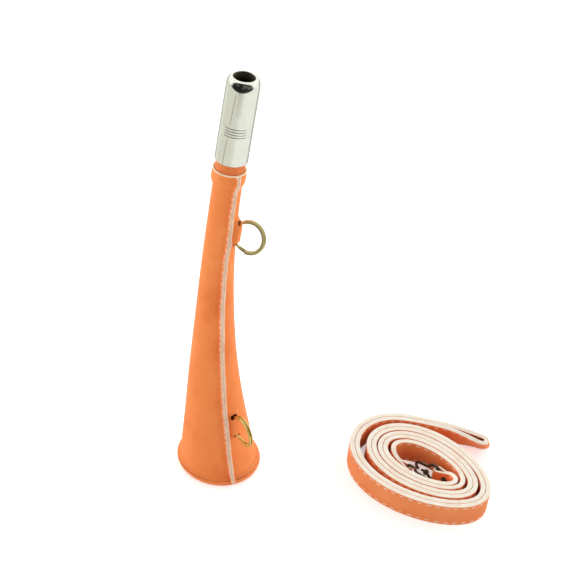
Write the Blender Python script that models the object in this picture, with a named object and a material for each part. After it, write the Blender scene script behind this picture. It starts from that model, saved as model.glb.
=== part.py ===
"""Leather-covered call horn standing on its bell, with its carrying strap wound beside it.

Units are metres, +Z is up, and the origin is the middle of the whole set on the floor.
Everything is drawn from the centre of the bell's rim first, and moved there at the end. The
horn's pieces are turned about one curved centre line. A place on the horn is given by its
distance along that line from the rim, its radius, and its angle round the line from the front
(-Y) towards +X.
"""

import math

import bmesh
import bpy
import numpy as np
from mathutils import Matrix, Vector

MM = 0.001
DEG = math.pi / 180.0

CLEARANCE = 0.3 * MM
TURNED_COLUMNS = 32

# Curved centre line: its lean from the vertical, sideways and backwards, at rim and neck
SIDE_LEAN_RIM = -9.5 * DEG
SIDE_LEAN_NECK = 2.5 * DEG
BACK_LEAN_RIM = 1.3 * DEG
BACK_LEAN_NECK = 4.9 * DEG
BEND_LENGTH = 189.0 * MM
LEVEL_RIM_BLEND = 40.0 * MM

# Brass tube: outer radii at the neck and the bell, and how fast it flares
TUBE_WALL = 0.5 * MM
TUBE_NECK_RADIUS = 6.1 * MM
TUBE_BELL_RADIUS = 18.9 * MM
TUBE_FLARE_POWER = 2.15
TUBE_LENGTH = 193.4 * MM
STRAIGHT_AT_RIM = 9.0 * MM
TAPER_BELOW_TUBE_END = 3.4 * MM
RIM_WIRE_RADIUS = 0.8 * MM
CURL_END_ANGLE = 100.0 * DEG

# Leather cover, its pinched seam and its turned-in lower edge
COVER_THICKNESS = 0.95 * MM
COVER_BELOW_TUBE_END = 3.9 * MM
COVER_TURN_IN = 9.0 * MM
BEAD_FLAT_DEPTH = 0.12 * MM
BEAD_START_ANGLE = 62.0 * DEG
BEAD_SEAM_SHARE = 0.6
BEAD_SEAM_FADE = (-50.0, 60.0)
CREASE_OVER_BEAD = 0.4 * MM
CREASE_SWELL = 0.25 * MM
SEAM_ANGLE_BELL = 27.0 * DEG
SEAM_ANGLE_NECK = 34.0 * DEG
SEAM_DRIFT_FROM = 125.0 * MM
SEAM_DRIFT_TO = 160.0 * MM
SEAM_WIDTH = 2.0 * MM
SEAM_HEIGHT = 1.9 * MM
TUBE_SLICE = 11.0 * MM
SEAT_SLICE = 1.6 * MM
SEAT_SLICE_INSIDE = 2.0 * MM
COLUMNS_BESIDE_SEAM = 7
COLUMNS_ROUND_REST = 20

# Leather strip round the neck, under the cover's top edge
STRIP_THICKNESS = 1.0 * MM
STRIP_HEIGHT = 9.9 * MM
STRIP_ABOVE_TUBE_END = 0.8 * MM
COLLAR_RISE = 4.5 * MM

# Socket sleeve in the neck
SOCKET_WALL = 0.4 * MM
SOCKET_DEPTH = 21.5 * MM
SOCKET_FLANGE = 0.5 * MM

# Mouthpiece
MOUTHPIECE_RADIUS = 8.3 * MM
MOUTHPIECE_LENGTH = 45.5 * MM
MOUTHPIECE_WALL = 0.8 * MM
MOUTHPIECE_BASE = 1.1 * MM
MOUTHPIECE_EDGE = 0.3 * MM
MOUTH_HOLE_RADIUS = 5.48 * MM
MOUTH_THROAT_DEPTH = 4.0 * MM
SHOULDER_RADIUS = 2.4 * MM
GROOVE_COUNT = 4
GROOVE_PITCH = 1.45 * MM
GROOVE_WIDTH = 0.7 * MM
GROOVE_DEPTH = 0.3 * MM
GROOVES_ABOVE_BASE = 17.5 * MM
TENON_RADIUS = 3.8 * MM
TENON_WALL = 0.6 * MM
TENON_REACH = 20.5 * MM
TENON_RISE = 4.1 * MM
CORK_LENGTH = 14.0 * MM
CORK_ABOVE_TENON_END = 2.0 * MM
MOUTHPIECE_TRAVEL_SPARE = 1.5 * MM

# Reed, standing on the tenon inside the mouthpiece
REED_PLUG_DEPTH = 6.0 * MM
REED_FLANGE = 2.5 * MM
REED_BORE_RADIUS = 1.6 * MM
SHALLOT_RADIUS = 2.4 * MM
SHALLOT_WALL = 0.5 * MM
SHALLOT_LENGTH = 24.0 * MM
SHALLOT_CUT_SHARE = 0.3
TONGUE_WIDTH = 3.6 * MM
TONGUE_THICKNESS = 0.25 * MM
TONGUE_END_GAP = 1.0 * MM
WEDGE_HEIGHT = 4.5 * MM
WEDGE_WIDTH = 2.6 * MM
WEDGE_THIN = 0.45 * MM
WEDGE_THICK = 0.8 * MM
REED_POST_THICKNESS = 0.6 * MM
REED_POST_SHARE = 0.7

# Split rings and the staples that hold them
RING_OUTER_RADIUS = 9.0 * MM
RING_BAND = 1.1 * MM
RING_TURN_THICKNESS = 0.5 * MM
RING_TURN_GAP = 0.45 * MM
RING_STEP_SPAN = 40.0 * DEG
RING_STEP_AT = 235.0 * DEG
RING_END_GAP = 8.0 * DEG
RING_POINTS_PER_TURN = 36
UPPER_RING_AT = 154.2 * MM
UPPER_RING_LEAN = 14.0 * DEG
LOWER_RING_AT = 35.4 * MM
LOWER_RING_LEAN = 0.0 * DEG
RING_REST_SWING = -5.0 * DEG
LUG_FROM_SEAM = 5.0 * MM
LUG_WALL = 0.35 * MM
LUG_LENGTH = 1.8 * MM
LUG_FOOT_LENGTH = 1.35 * MM
BULGE_FLAT_LENGTH = 7.2 * MM
BULGE_LENGTH = 16.0 * MM
BULGE_FLAT_WIDTH = 2.6 * MM
BULGE_WIDTH = 8.4 * MM
SLOT_FROM = 3.5 * MM
SLOT_TO = 6.9 * MM
SLOT_WIDTH = 4.9 * MM

# Carrying strap: doubled at its middle and wound on edge round an oval
STRAP_WIDTH = 14.0 * MM
STRAP_THICKNESS = 2.4 * MM
STRAP_TURN_GAP = 0.5 * MM
STRAP_END_WIDTH = 8.0 * MM
STRAP_END_TAPER = 12.0 * MM
STRAP_LOOP_LEATHER = 1.2 * MM
STRAP_LOOP_OVERLAP = 0.36 * MM
COIL_CENTRE = (114.0 * MM, 4.0 * MM)
COIL_DRIFT = (-0.5 * MM, 0.3 * MM)
COIL_TURNED = -30.6 * DEG
COIL_HALF_LENGTH = 42.1 * MM
COIL_HALF_BREADTH = 28.5 * MM
COIL_EGG = 0.1
COIL_END_LOOSENESS = 1.2 * MM
COIL_SIDE_LOOSENESS = 0.3 * MM
FIRST_TURN_SLACK = 3.0 * MM
SLACK_PEAK = 0.32
SLACK_BEFORE = 0.26
SLACK_AFTER = 0.23
COIL_START = 0.1
POINTS_PER_LOOP = 24
POINT_CROWDING = 0.15
OUTER_STRAND_TURNS = 3.35
OUTER_STRAND_AIM = 38.0 * DEG
INNER_STRAND_TURNS = 2.85
INNER_STRAND_AIM = 42.0 * DEG
HAIRPIN_LEAD = 47.0 * MM
HAIRPIN_LEAD_BEND = 190.0 * MM
HAIRPIN_RADIUS = 2.6 * MM
END_SHIFT = 1.4 * MM
END_SHIFT_LENGTH = 18.0 * MM
END_STRAIGHT = 8.0 * MM
END_TURNS_AND_STEPS = ((0.5, 0.35), (1.0, 0.35), (1.0, 0.3))
LEAST_GAP_ALLOWED = 0.4 * MM

# Snap hooks at the strap's ends, bent from wire
HOOK_WIRE_RADIUS = 0.85 * MM
HOOK_EYE_LENGTH = 4.6 * MM
HOOK_BODY_LENGTH = 10.4 * MM
HOOK_HALF_HEIGHT = 2.6 * MM
HOOK_CORNER_RADIUS = 1.3 * MM
HOOK_SHOULDER_LENGTH = 2.2 * MM
HOOK_END_BEFORE_PIVOT = 0.6 * MM
GATE_PIVOT_FROM_BAR = 6.4 * MM
GATE_RADIUS = 0.7 * MM
GATE_END_BEFORE_NOSE = 0.55 * MM
PIVOT_DISC_RADIUS = 1.45 * MM
PIVOT_DISC_THICKNESS = 0.8 * MM
PIVOT_PIN_RADIUS = 0.4 * MM
PIN_HEAD_RADIUS = 0.9 * MM
PIN_HEAD_THICKNESS = 0.35 * MM
RIVET_RADIUS = 0.8 * MM
RIVET_HEAD_RADIUS = 1.7 * MM
RIVET_HEAD_THICKNESS = 0.45 * MM
RIVET_FROM_BAR = 5.2 * MM

# Colours: red, green, blue, roughness, metallic
FINISHES = {
    "brass": (0.62, 0.46, 0.2, 0.32, 1.0),
    "nickel": (0.78, 0.76, 0.7, 0.14, 1.0),
    "orange_leather": (0.74, 0.21, 0.06, 0.5, 0.0),
    "dark_leather": (0.5, 0.14, 0.04, 0.55, 0.0),
    "cork": (0.55, 0.37, 0.2, 0.85, 0.0),
    "antique_brass": (0.2, 0.16, 0.1, 0.4, 1.0),
}


def smooth_step(value):
    """Return the eased share, from 0 to 1, of a share that may lie outside that range."""
    share = np.clip(value, 0.0, 1.0)
    return share * share * (3.0 - 2.0 * share)


def plateau(distance, flat, whole):
    """Return 1 over the flat middle width, eased to 0 at the whole width's edges."""
    fade = (whole - flat) / 2.0
    return float(1.0 - smooth_step((abs(distance) - flat / 2.0) / fade))


class CentreLine:
    """The horn's curved centre line and the slices across it."""

    SAMPLES = 500

    def __init__(self):
        reach = TUBE_LENGTH + MOUTHPIECE_LENGTH + 10.0 * MM
        self.along = np.linspace(0.0, reach, self.SAMPLES)
        bend = np.minimum(self.along / BEND_LENGTH, 1.0)
        side = SIDE_LEAN_RIM + (SIDE_LEAN_NECK - SIDE_LEAN_RIM) * bend
        back = BACK_LEAN_RIM + (BACK_LEAN_NECK - BACK_LEAN_RIM) * bend
        tangent = np.stack([np.tan(side), np.tan(back), np.ones_like(bend)], axis=1)
        tangent /= np.linalg.norm(tangent, axis=1)[:, None]
        step = self.along[1] - self.along[0]
        middles = (tangent[1:] + tangent[:-1]) * step / 2.0
        self.tangent = tangent
        self.centre = np.concatenate([np.zeros((1, 3)), np.cumsum(middles, axis=0)])

    def read(self, table, at):
        """Return the table's value at a distance along the line, on past its start."""
        value = [np.interp(at, self.along, table[:, k]) for k in range(3)]
        return Vector(value)

    def middle(self, at):
        """Return the line's point at a distance from the rim."""
        point = self.read(self.centre, max(at, 0.0))
        return point + self.read(self.tangent, 0.0) * min(at, 0.0)

    def direction(self, at):
        """Return the line's own direction at a distance from the rim."""
        return self.read(self.tangent, at).normalized()

    def across(self, at):
        """Return the slice's two directions, to the right and to the back."""
        share = float(smooth_step(at / LEVEL_RIM_BLEND))
        normal = Vector((0.0, 0.0, 1.0)).lerp(self.direction(at), share).normalized()
        right = (Vector((1.0, 0.0, 0.0)) - normal * normal.x).normalized()
        return right, normal.cross(right)

    def point(self, at, radius, angle):
        """Return the point at a distance, a radius and an angle from the front."""
        right, back = self.across(at)
        outward = right * math.sin(angle) - back * math.cos(angle)
        return self.middle(at) + outward * radius


LINE = CentreLine()


def tube_radius(at):
    """Return the brass tube's outer radius at a distance from the rim."""
    share = (TAPER_END - np.clip(at, STRAIGHT_AT_RIM, TAPER_END)) / (TAPER_END - STRAIGHT_AT_RIM)
    return TUBE_NECK_RADIUS + (TUBE_BELL_RADIUS - TUBE_NECK_RADIUS) * float(share) ** TUBE_FLARE_POWER


# Sizes that follow from the driving ones
CURL_INNER = RIM_WIRE_RADIUS + CLEARANCE
CURL_OUTER = CURL_INNER + TUBE_WALL
BEAD_INNER = CURL_OUTER + CLEARANCE
BEAD_OUTER = BEAD_INNER + COVER_THICKNESS
RIM_RADIUS = TUBE_BELL_RADIUS + CURL_INNER
RIM_HEIGHT = BEAD_OUTER - BEAD_FLAT_DEPTH
COVER_OFFSET = CLEARANCE + COVER_THICKNESS
STRIP_OFFSET = CLEARANCE + STRIP_THICKNESS
LUG_BORE = math.hypot(RING_BAND, 2.0 * RING_TURN_THICKNESS + RING_TURN_GAP) / 2.0 + CLEARANCE
LUG_AXIS_HEIGHT = LUG_BORE
LUG_TOP = LUG_AXIS_HEIGHT + LUG_BORE + LUG_WALL
SHELL_BASE = TUBE_LENGTH + 2.0 * CLEARANCE + SOCKET_FLANGE
TENON_TOP = SHELL_BASE + TENON_RISE
TENON_FOOT = SHELL_BASE - TENON_REACH
SOCKET_OUTER = TUBE_NECK_RADIUS - TUBE_WALL - CLEARANCE
SOCKET_INNER = SOCKET_OUTER - SOCKET_WALL
TAPER_END = TUBE_LENGTH - TAPER_BELOW_TUBE_END
COVER_TOP = TUBE_LENGTH - COVER_BELOW_TUBE_END
STRIP_TOP = TUBE_LENGTH + STRIP_ABOVE_TUBE_END
STRIP_FOOT = STRIP_TOP - STRIP_HEIGHT
STRAP_SPACING = STRAP_THICKNESS + STRAP_TURN_GAP
STRAP_MIDDLE = STRAP_WIDTH / 2.0
EYE_INNER_RADIUS = HOOK_WIRE_RADIUS + CLEARANCE
EYE_OUTER_RADIUS = EYE_INNER_RADIUS + STRAP_LOOP_LEATHER
EYE_HALF_HEIGHT = STRAP_END_WIDTH / 2.0 + CLEARANCE + HOOK_WIRE_RADIUS


def seam_angle(at):
    """Return the seam's angle from the front at a distance from the rim."""
    share = float(smooth_step((at - SEAM_DRIFT_FROM) / (SEAM_DRIFT_TO - SEAM_DRIFT_FROM)))
    return SEAM_ANGLE_BELL + (SEAM_ANGLE_NECK - SEAM_ANGLE_BELL) * share


class RingSeat:
    """Where a split ring hangs: a frame on the tube, turned by the staple's lean."""

    def __init__(self, at, lean):
        self.at = at
        self.lean = lean
        self.radius = tube_radius(at)
        self.angle = seam_angle(at) + LUG_FROM_SEAM / (self.radius + COVER_OFFSET)
        self.foot = LINE.point(at, self.radius, self.angle)
        probe = 1.0 * MM
        ahead = LINE.point(at + probe, tube_radius(at + probe), self.angle)
        behind = LINE.point(at - probe, tube_radius(at - probe), self.angle)
        upward = (ahead - behind).normalized()
        sideways = LINE.point(at, self.radius, self.angle + 0.01) - self.foot
        sideways = (sideways - upward * sideways.dot(upward)).normalized()
        self.outward = sideways.cross(upward)
        turn = Matrix.Rotation(-lean, 3, self.outward)
        self.upward = turn @ upward
        self.sideways = turn @ sideways
        self.axis_point = self.foot + self.outward * LUG_AXIS_HEIGHT

    def place(self, up, side, out):
        """Return the world point at distances up the staple, sideways and off the tube."""
        return self.foot + self.upward * up + self.sideways * side + self.outward * out

    def bulge(self, at, angle):
        """Return how far the cover stands up at a place, to clear the staple and ring."""
        up = at - self.at
        side = (angle - self.angle) * (tube_radius(at) + COVER_OFFSET)
        turned_up = up * math.cos(self.lean) + side * math.sin(self.lean)
        turned_side = side * math.cos(self.lean) - up * math.sin(self.lean)
        length = plateau(turned_up, BULGE_FLAT_LENGTH, BULGE_LENGTH)
        width = plateau(turned_side, BULGE_FLAT_WIDTH, BULGE_WIDTH)
        return LUG_TOP * length * width


SEATS = {
    "upper": RingSeat(UPPER_RING_AT, UPPER_RING_LEAN),
    "lower": RingSeat(LOWER_RING_AT, LOWER_RING_LEAN),
}


def clear_scene():
    """Remove what the scene holds."""
    for item in list(bpy.data.objects):
        bpy.data.objects.remove(item, do_unlink=True)


def finish_material(node, finish):
    """Return a new material for one node in one of the named finishes."""
    red, green, blue, roughness, metallic = FINISHES[finish]
    material = bpy.data.materials.new(node)
    material.use_nodes = True
    shader = material.node_tree.nodes["Principled BSDF"]
    shader.inputs["Base Color"].default_value = (red, green, blue, 1.0)
    shader.inputs["Roughness"].default_value = roughness
    shader.inputs["Metallic"].default_value = metallic
    return material


def attach(item, parent):
    """Parent an item and keep it where it is."""
    item.parent = parent
    item.matrix_parent_inverse = parent.matrix_world.inverted()


def new_object(name, mesh, finish=None, parent=None):
    """Link a mesh as an object, with its finish and its parent."""
    item = bpy.data.objects.new(name, mesh)
    bpy.context.collection.objects.link(item)
    if finish:
        mesh.materials.append(finish_material(name, finish))
    if parent:
        attach(item, parent)
    return item


def new_pivot(name, location, parent=None):
    """Return an empty that stands on a joint's axis."""
    pivot = bpy.data.objects.new(name, None)
    bpy.context.collection.objects.link(pivot)
    pivot.location = location
    if parent:
        attach(pivot, parent)
    bpy.context.view_layer.update()
    return pivot


def mesh_from(name, build, sharp_angle=40.0 * DEG):
    """Return a smooth-shaded closed mesh from a function that fills a bmesh."""
    work = bmesh.new()
    build(work)
    bmesh.ops.remove_doubles(work, verts=work.verts, dist=0.002 * MM)
    bmesh.ops.recalc_face_normals(work, faces=work.faces)
    mesh = bpy.data.meshes.new(name)
    work.to_mesh(mesh)
    work.free()
    mesh.shade_smooth()
    mesh.set_sharp_from_angle(angle=sharp_angle)
    return mesh


def combine(item, other, operation):
    """Cut or join another object into an item, and leave the other out of the part."""
    other.hide_render = True
    other.display_type = "WIRE"
    step = item.modifiers.new(other.name, "BOOLEAN")
    step.object = other
    step.operation = operation
    step.solver = "EXACT"


def bridge(work, rings, closed):
    """Skin a list of equal vertex rings, the last one joined to the first if closed."""
    count = len(rings) if closed else len(rings) - 1
    for i in range(count):
        first, second = rings[i], rings[(i + 1) % len(rings)]
        for k in range(len(first)):
            n = (k + 1) % len(first)
            work.faces.new((first[k], first[n], second[n], second[k]))


def turned_mesh(name, profile, columns=TURNED_COLUMNS):
    """Return a hollow piece turned about the centre line from (distance, radius) points."""
    def build(work):
        rings = []
        for at, radius in profile:
            angles = [2.0 * math.pi * k / columns for k in range(columns)]
            rings.append([work.verts.new(LINE.point(at, radius, a)) for a in angles])
        bridge(work, rings, closed=True)
    return mesh_from(name, build)


def rim_arc(radius, start, end, steps):
    """Return (distance, radius) points round the rim wire, from the outside upwards."""
    points = []
    for k in range(steps + 1):
        angle = start + (end - start) * k / steps
        height = RIM_HEIGHT + radius * math.sin(angle)
        points.append((max(height, 0.0), RIM_RADIUS + radius * math.cos(angle)))
    return points


def tube_stations():
    """Return the distances from the rim at which the tube's walls have a slice."""
    count = round((TUBE_LENGTH - STRAIGHT_AT_RIM) / TUBE_SLICE)
    return [float(s) for s in np.linspace(STRAIGHT_AT_RIM, TUBE_LENGTH, count + 1)]


def make_bell_tube():
    """Make the flared brass tube, its rim curled outward round the wire."""
    stations = tube_stations()
    outside = [(s, tube_radius(s)) for s in reversed(stations)]
    inside = [(s, tube_radius(s) - TUBE_WALL) for s in stations]
    around_wire = rim_arc(CURL_INNER, -math.pi, CURL_END_ANGLE, 13)
    around_curl = rim_arc(CURL_OUTER, CURL_END_ANGLE, -math.pi, 13)
    new_object("bell_tube", turned_mesh("bell_tube", outside + around_wire + around_curl + inside), "brass")


def make_rim_wire():
    """Make the wire that stiffens the rolled rim."""
    section = rim_arc(RIM_WIRE_RADIUS, 0.0, 2.0 * math.pi * 7.0 / 8.0, 7)
    new_object("rim_wire", turned_mesh("rim_wire", section), "brass")


def collar_lift(at):
    """Return how far the cover stands out over the neck strip at a distance."""
    foot = STRIP_FOOT - CLEARANCE - COLLAR_RISE
    return (STRIP_THICKNESS + CLEARANCE) * float(smooth_step((at - foot) / COLLAR_RISE))


def cover_stations(near_step):
    """Return the cover's slice distances, closer together beside the ring seats."""
    collar = STRIP_FOOT - CLEARANCE - COLLAR_RISE
    stations = set()
    for s in tube_stations():
        clear = all(abs(s - seat.at) > BULGE_LENGTH / 2.0 + near_step for seat in SEATS.values())
        if clear and s < collar:
            stations.add(s)
    for seat in SEATS.values():
        count = round(BULGE_LENGTH / near_step)
        for k in range(count + 1):
            stations.add(seat.at - BULGE_LENGTH / 2.0 + BULGE_LENGTH * k / count)
    for share in (0.0, 0.5, 1.0):
        stations.add(collar + COLLAR_RISE * share)
    stations.add(COVER_TOP)
    return sorted(stations)


def cover_columns(at, radius):
    """Return the cover's column angles: the seam, the ring seats' side, then the rest."""
    seam = seam_angle(at)
    half = SEAM_WIDTH / 2.0 / radius
    near = [seam - half, seam - half, seam + half, seam + half]
    first = SEAM_WIDTH / 2.0
    last = LUG_FROM_SEAM + BULGE_WIDTH / 2.0
    count = COLUMNS_BESIDE_SEAM
    near += [seam + (first + (last - first) * k / count) / radius for k in range(1, count + 1)]
    rest = COLUMNS_ROUND_REST
    start, end = near[-1], seam - half + 2.0 * math.pi
    return near + [start + (end - start) * k / rest for k in range(1, rest)]


SEAM_TOP_COLUMNS = (1, 2)


def cover_ring(work, at, radius, slope, seam_height, bulged=True):
    """Add one slice of the cover: slope is the outward direction as (along, radial)."""
    ring = []
    for k, angle in enumerate(cover_columns(at, max(radius, tube_radius(at)))):
        lift = max(seat.bulge(at, angle) for seat in SEATS.values()) if bulged else 0.0
        if k in SEAM_TOP_COLUMNS:
            lift += seam_height
        ring.append(work.verts.new(LINE.point(at + lift * slope[0], radius + lift * slope[1], angle)))
    return ring


def make_leather_cover():
    """Make the cover: outside, round the bead, a turned-in edge, and back up inside."""
    level = (0.0, 1.0)
    crease_height = RIM_HEIGHT + BEAD_OUTER + CREASE_OVER_BEAD
    crease_radius = TUBE_BELL_RADIUS + COVER_OFFSET + CREASE_SWELL

    def bead(radius, start, end, steps):
        angles = [start + (end - start) * k / steps for k in range(steps + 1)]
        return [(point, a) for point, a in zip(rim_arc(radius, start, end, steps), angles)]

    def build(work):
        rings = []
        for s in reversed(cover_stations(SEAT_SLICE)):
            radius = tube_radius(s) + COVER_OFFSET + collar_lift(s)
            rings.append(cover_ring(work, s, radius, level, SEAM_HEIGHT))
        rings.append(cover_ring(work, crease_height, crease_radius, level, SEAM_HEIGHT, bulged=False))
        fade_from, fade_over = BEAD_SEAM_FADE
        for (s, radius), angle in bead(BEAD_OUTER, BEAD_START_ANGLE, -math.pi, 14):
            fade = float(smooth_step((angle / DEG - fade_from) / fade_over))
            height = SEAM_HEIGHT * BEAD_SEAM_SHARE * fade
            outward = (math.sin(angle), math.cos(angle))
            rings.append(cover_ring(work, s, radius, outward, height, bulged=False))
        inner_face = RIM_RADIUS - BEAD_OUTER
        rings.append(cover_ring(work, COVER_TURN_IN, inner_face, level, 0.0, bulged=False))
        rings.append(cover_ring(work, COVER_TURN_IN, inner_face + COVER_THICKNESS, level, 0.0, bulged=False))
        for (s, radius), angle in bead(BEAD_INNER, -math.pi, 95.0 * DEG, 11):
            rings.append(cover_ring(work, s, radius, level, 0.0, bulged=False))
        for s in cover_stations(SEAT_SLICE_INSIDE):
            radius = tube_radius(s) + CLEARANCE + collar_lift(s)
            rings.append(cover_ring(work, s, radius, level, 0.0))
        bridge(work, rings, closed=True)

    cover = new_object("leather_cover", mesh_from("leather_cover", build), "orange_leather")
    for name, seat in SEATS.items():
        for side, label in ((1.0, "above"), (-1.0, "below")):
            combine(cover, slot_cutter(f"{name}_slot_{label}", seat, side), "DIFFERENCE")


def box_mesh(name, place, low, high):
    """Return a box mesh whose corners a place function puts into the world."""
    def build(work):
        corners = []
        for z in (low[2], high[2]):
            pairs = ((low[0], low[1]), (high[0], low[1]), (high[0], high[1]), (low[0], high[1]))
            corners.append([work.verts.new(place(x, y, z)) for x, y in pairs])
        bridge(work, corners, closed=False)
        work.faces.new(corners[0])
        work.faces.new(corners[1])
    return mesh_from(name, build)


def slot_cutter(name, seat, side):
    """Make the box that opens the cover where a ring leaves it, above or below a staple."""
    near, far = sorted((side * SLOT_FROM, side * SLOT_TO))
    low = (near, -SLOT_WIDTH / 2.0, -1.0 * MM)
    high = (far, SLOT_WIDTH / 2.0, LUG_TOP + 3.0 * MM)
    return new_object(name, box_mesh(name, seat.place, low, high))


def make_neck_strip():
    """Make the leather strip that wraps the neck under the cover's top edge."""
    profile = []
    for s, offset in ((STRIP_TOP, STRIP_OFFSET), (STRIP_FOOT, STRIP_OFFSET),
                      (STRIP_FOOT, CLEARANCE), (STRIP_TOP, CLEARANCE)):
        profile.append((s, tube_radius(s) + offset))
    new_object("neck_strip", turned_mesh("neck_strip", profile), "dark_leather")


def make_neck_socket():
    """Make the sleeve in the neck, with a flange on the tube's end."""
    flange = TUBE_LENGTH + CLEARANCE
    profile = [
        (flange + SOCKET_FLANGE, TUBE_NECK_RADIUS),
        (flange, TUBE_NECK_RADIUS),
        (flange, SOCKET_OUTER),
        (flange - SOCKET_DEPTH, SOCKET_OUTER),
        (flange - SOCKET_DEPTH, SOCKET_INNER),
        (flange + SOCKET_FLANGE, SOCKET_INNER),
    ]
    new_object("neck_socket", turned_mesh("neck_socket", profile), "brass")


def make_lug(name, seat):
    """Make the soldered staple that a split ring runs through."""
    def foot(side):
        return CLEARANCE - side * side / (2.0 * seat.radius)

    outer = LUG_BORE + LUG_WALL
    toe = outer + LUG_FOOT_LENGTH
    arc = [math.pi * k / 8.0 for k in range(9)]
    outline = [(-toe, foot(toe)), (-toe, foot(toe) + LUG_WALL), (-outer, foot(outer) + LUG_WALL)]
    outline += [(-outer * math.cos(a), LUG_AXIS_HEIGHT + outer * math.sin(a)) for a in arc]
    outline += [(outer, foot(outer) + LUG_WALL), (toe, foot(toe) + LUG_WALL), (toe, foot(toe))]
    outline += [(LUG_BORE, foot(LUG_BORE))]
    outline += [(LUG_BORE * math.cos(a), LUG_AXIS_HEIGHT + LUG_BORE * math.sin(a)) for a in arc]
    outline += [(-LUG_BORE, foot(LUG_BORE))]

    def build(work):
        ends = []
        for up in (-LUG_LENGTH / 2.0, LUG_LENGTH / 2.0):
            ends.append([work.verts.new(seat.place(up, side, out)) for side, out in outline])
        bridge(work, ends, closed=False)
        work.faces.new(ends[0])
        work.faces.new(ends[1])

    new_object(name, mesh_from(name, build), "brass")


def make_ring(name, seat):
    """Make a split ring of two flat turns, hung in its staple and free to swing."""
    middle_radius = RING_OUTER_RADIUS - RING_BAND / 2.0
    layer = (RING_TURN_THICKNESS + RING_TURN_GAP) / 2.0
    start = RING_STEP_SPAN / 2.0 + RING_END_GAP
    end = 4.0 * math.pi - start
    steps = round((end - start) / (2.0 * math.pi) * RING_POINTS_PER_TURN)
    swing = Matrix.Rotation(RING_REST_SWING, 3, seat.upward)
    out = swing @ seat.outward
    side = swing @ seat.sideways

    def place(turned, radius, lift):
        angle = turned + RING_STEP_AT
        flat = out * (math.cos(angle) * radius + middle_radius) + seat.upward * (math.sin(angle) * radius)
        return seat.axis_point + flat + side * lift

    def build(work):
        rings = []
        for k in range(steps + 1):
            turned = start + (end - start) * k / steps
            share = (turned - 2.0 * math.pi + RING_STEP_SPAN / 2.0) / RING_STEP_SPAN
            height = layer * (2.0 * float(smooth_step(share)) - 1.0)
            section = []
            for band, thick in ((-1, -1), (1, -1), (1, 1), (-1, 1)):
                radius = middle_radius + band * RING_BAND / 2.0
                section.append(work.verts.new(place(turned, radius, height + thick * RING_TURN_THICKNESS / 2.0)))
            rings.append(section)
        bridge(work, rings, closed=False)
        work.faces.new(rings[0])
        work.faces.new(rings[-1])

    pivot = new_pivot(f"{name}_pivot", seat.axis_point)
    new_object(name, mesh_from(name, build, 30.0 * DEG), "brass", pivot)


def make_mouthpiece_shell(parent):
    """Make the plated shell: base, grooved tube, rounded shoulder and mouth hole."""
    top = SHELL_BASE + MOUTHPIECE_LENGTH
    edge = MOUTHPIECE_EDGE
    outside = [(SHELL_BASE, MOUTHPIECE_RADIUS - edge), (SHELL_BASE + edge, MOUTHPIECE_RADIUS)]
    for k in range(GROOVE_COUNT):
        middle = SHELL_BASE + GROOVES_ABOVE_BASE + GROOVE_PITCH * k
        outside.append((middle - GROOVE_WIDTH / 2.0, MOUTHPIECE_RADIUS))
        outside.append((middle, MOUTHPIECE_RADIUS - GROOVE_DEPTH))
        outside.append((middle + GROOVE_WIDTH / 2.0, MOUTHPIECE_RADIUS))
    for k in range(7):
        angle = k * 15.0 * DEG
        radius = MOUTHPIECE_RADIUS - SHOULDER_RADIUS * (1.0 - math.cos(angle))
        outside.append((top - SHOULDER_RADIUS * (1.0 - math.sin(angle)), radius))
    outside.append((top - edge, MOUTH_HOLE_RADIUS))
    cavity = MOUTHPIECE_RADIUS - MOUTHPIECE_WALL
    throat = top - MOUTH_THROAT_DEPTH
    outside.append((throat, MOUTH_HOLE_RADIUS))
    inside = [
        (throat - (cavity - MOUTH_HOLE_RADIUS), cavity),
        (SHELL_BASE + MOUTHPIECE_BASE, cavity),
        (SHELL_BASE + MOUTHPIECE_BASE, TENON_RADIUS + CLEARANCE),
        (SHELL_BASE, TENON_RADIUS + CLEARANCE),
    ]
    new_object("mouthpiece_shell", turned_mesh("mouthpiece_shell", outside + inside), "nickel", parent)


def make_tenon(parent):
    """Make the mouthpiece's own tube and the cork that grips the socket."""
    bore = TENON_RADIUS - TENON_WALL
    tube = [(TENON_TOP, TENON_RADIUS), (TENON_FOOT, TENON_RADIUS), (TENON_FOOT, bore), (TENON_TOP, bore)]
    new_object("tenon_tube", turned_mesh("tenon_tube", tube, 24), "brass", parent)
    foot = TENON_FOOT + CORK_ABOVE_TENON_END
    outer = SOCKET_INNER - CLEARANCE
    inner = TENON_RADIUS + CLEARANCE
    cork = [(foot + CORK_LENGTH, outer), (foot, outer), (foot, inner), (foot + CORK_LENGTH, inner)]
    new_object("tenon_cork", turned_mesh("tenon_cork", cork, 24), "cork", parent)


def reed_frame():
    """Return a place function on the mouthpiece's straight axis above the tenon."""
    base = LINE.middle(TENON_TOP)
    upward = LINE.direction(TENON_TOP)
    right, back = LINE.across(TENON_TOP)

    def place(side, front, up):
        return base + right * side - back * front + upward * up
    return place


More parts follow.
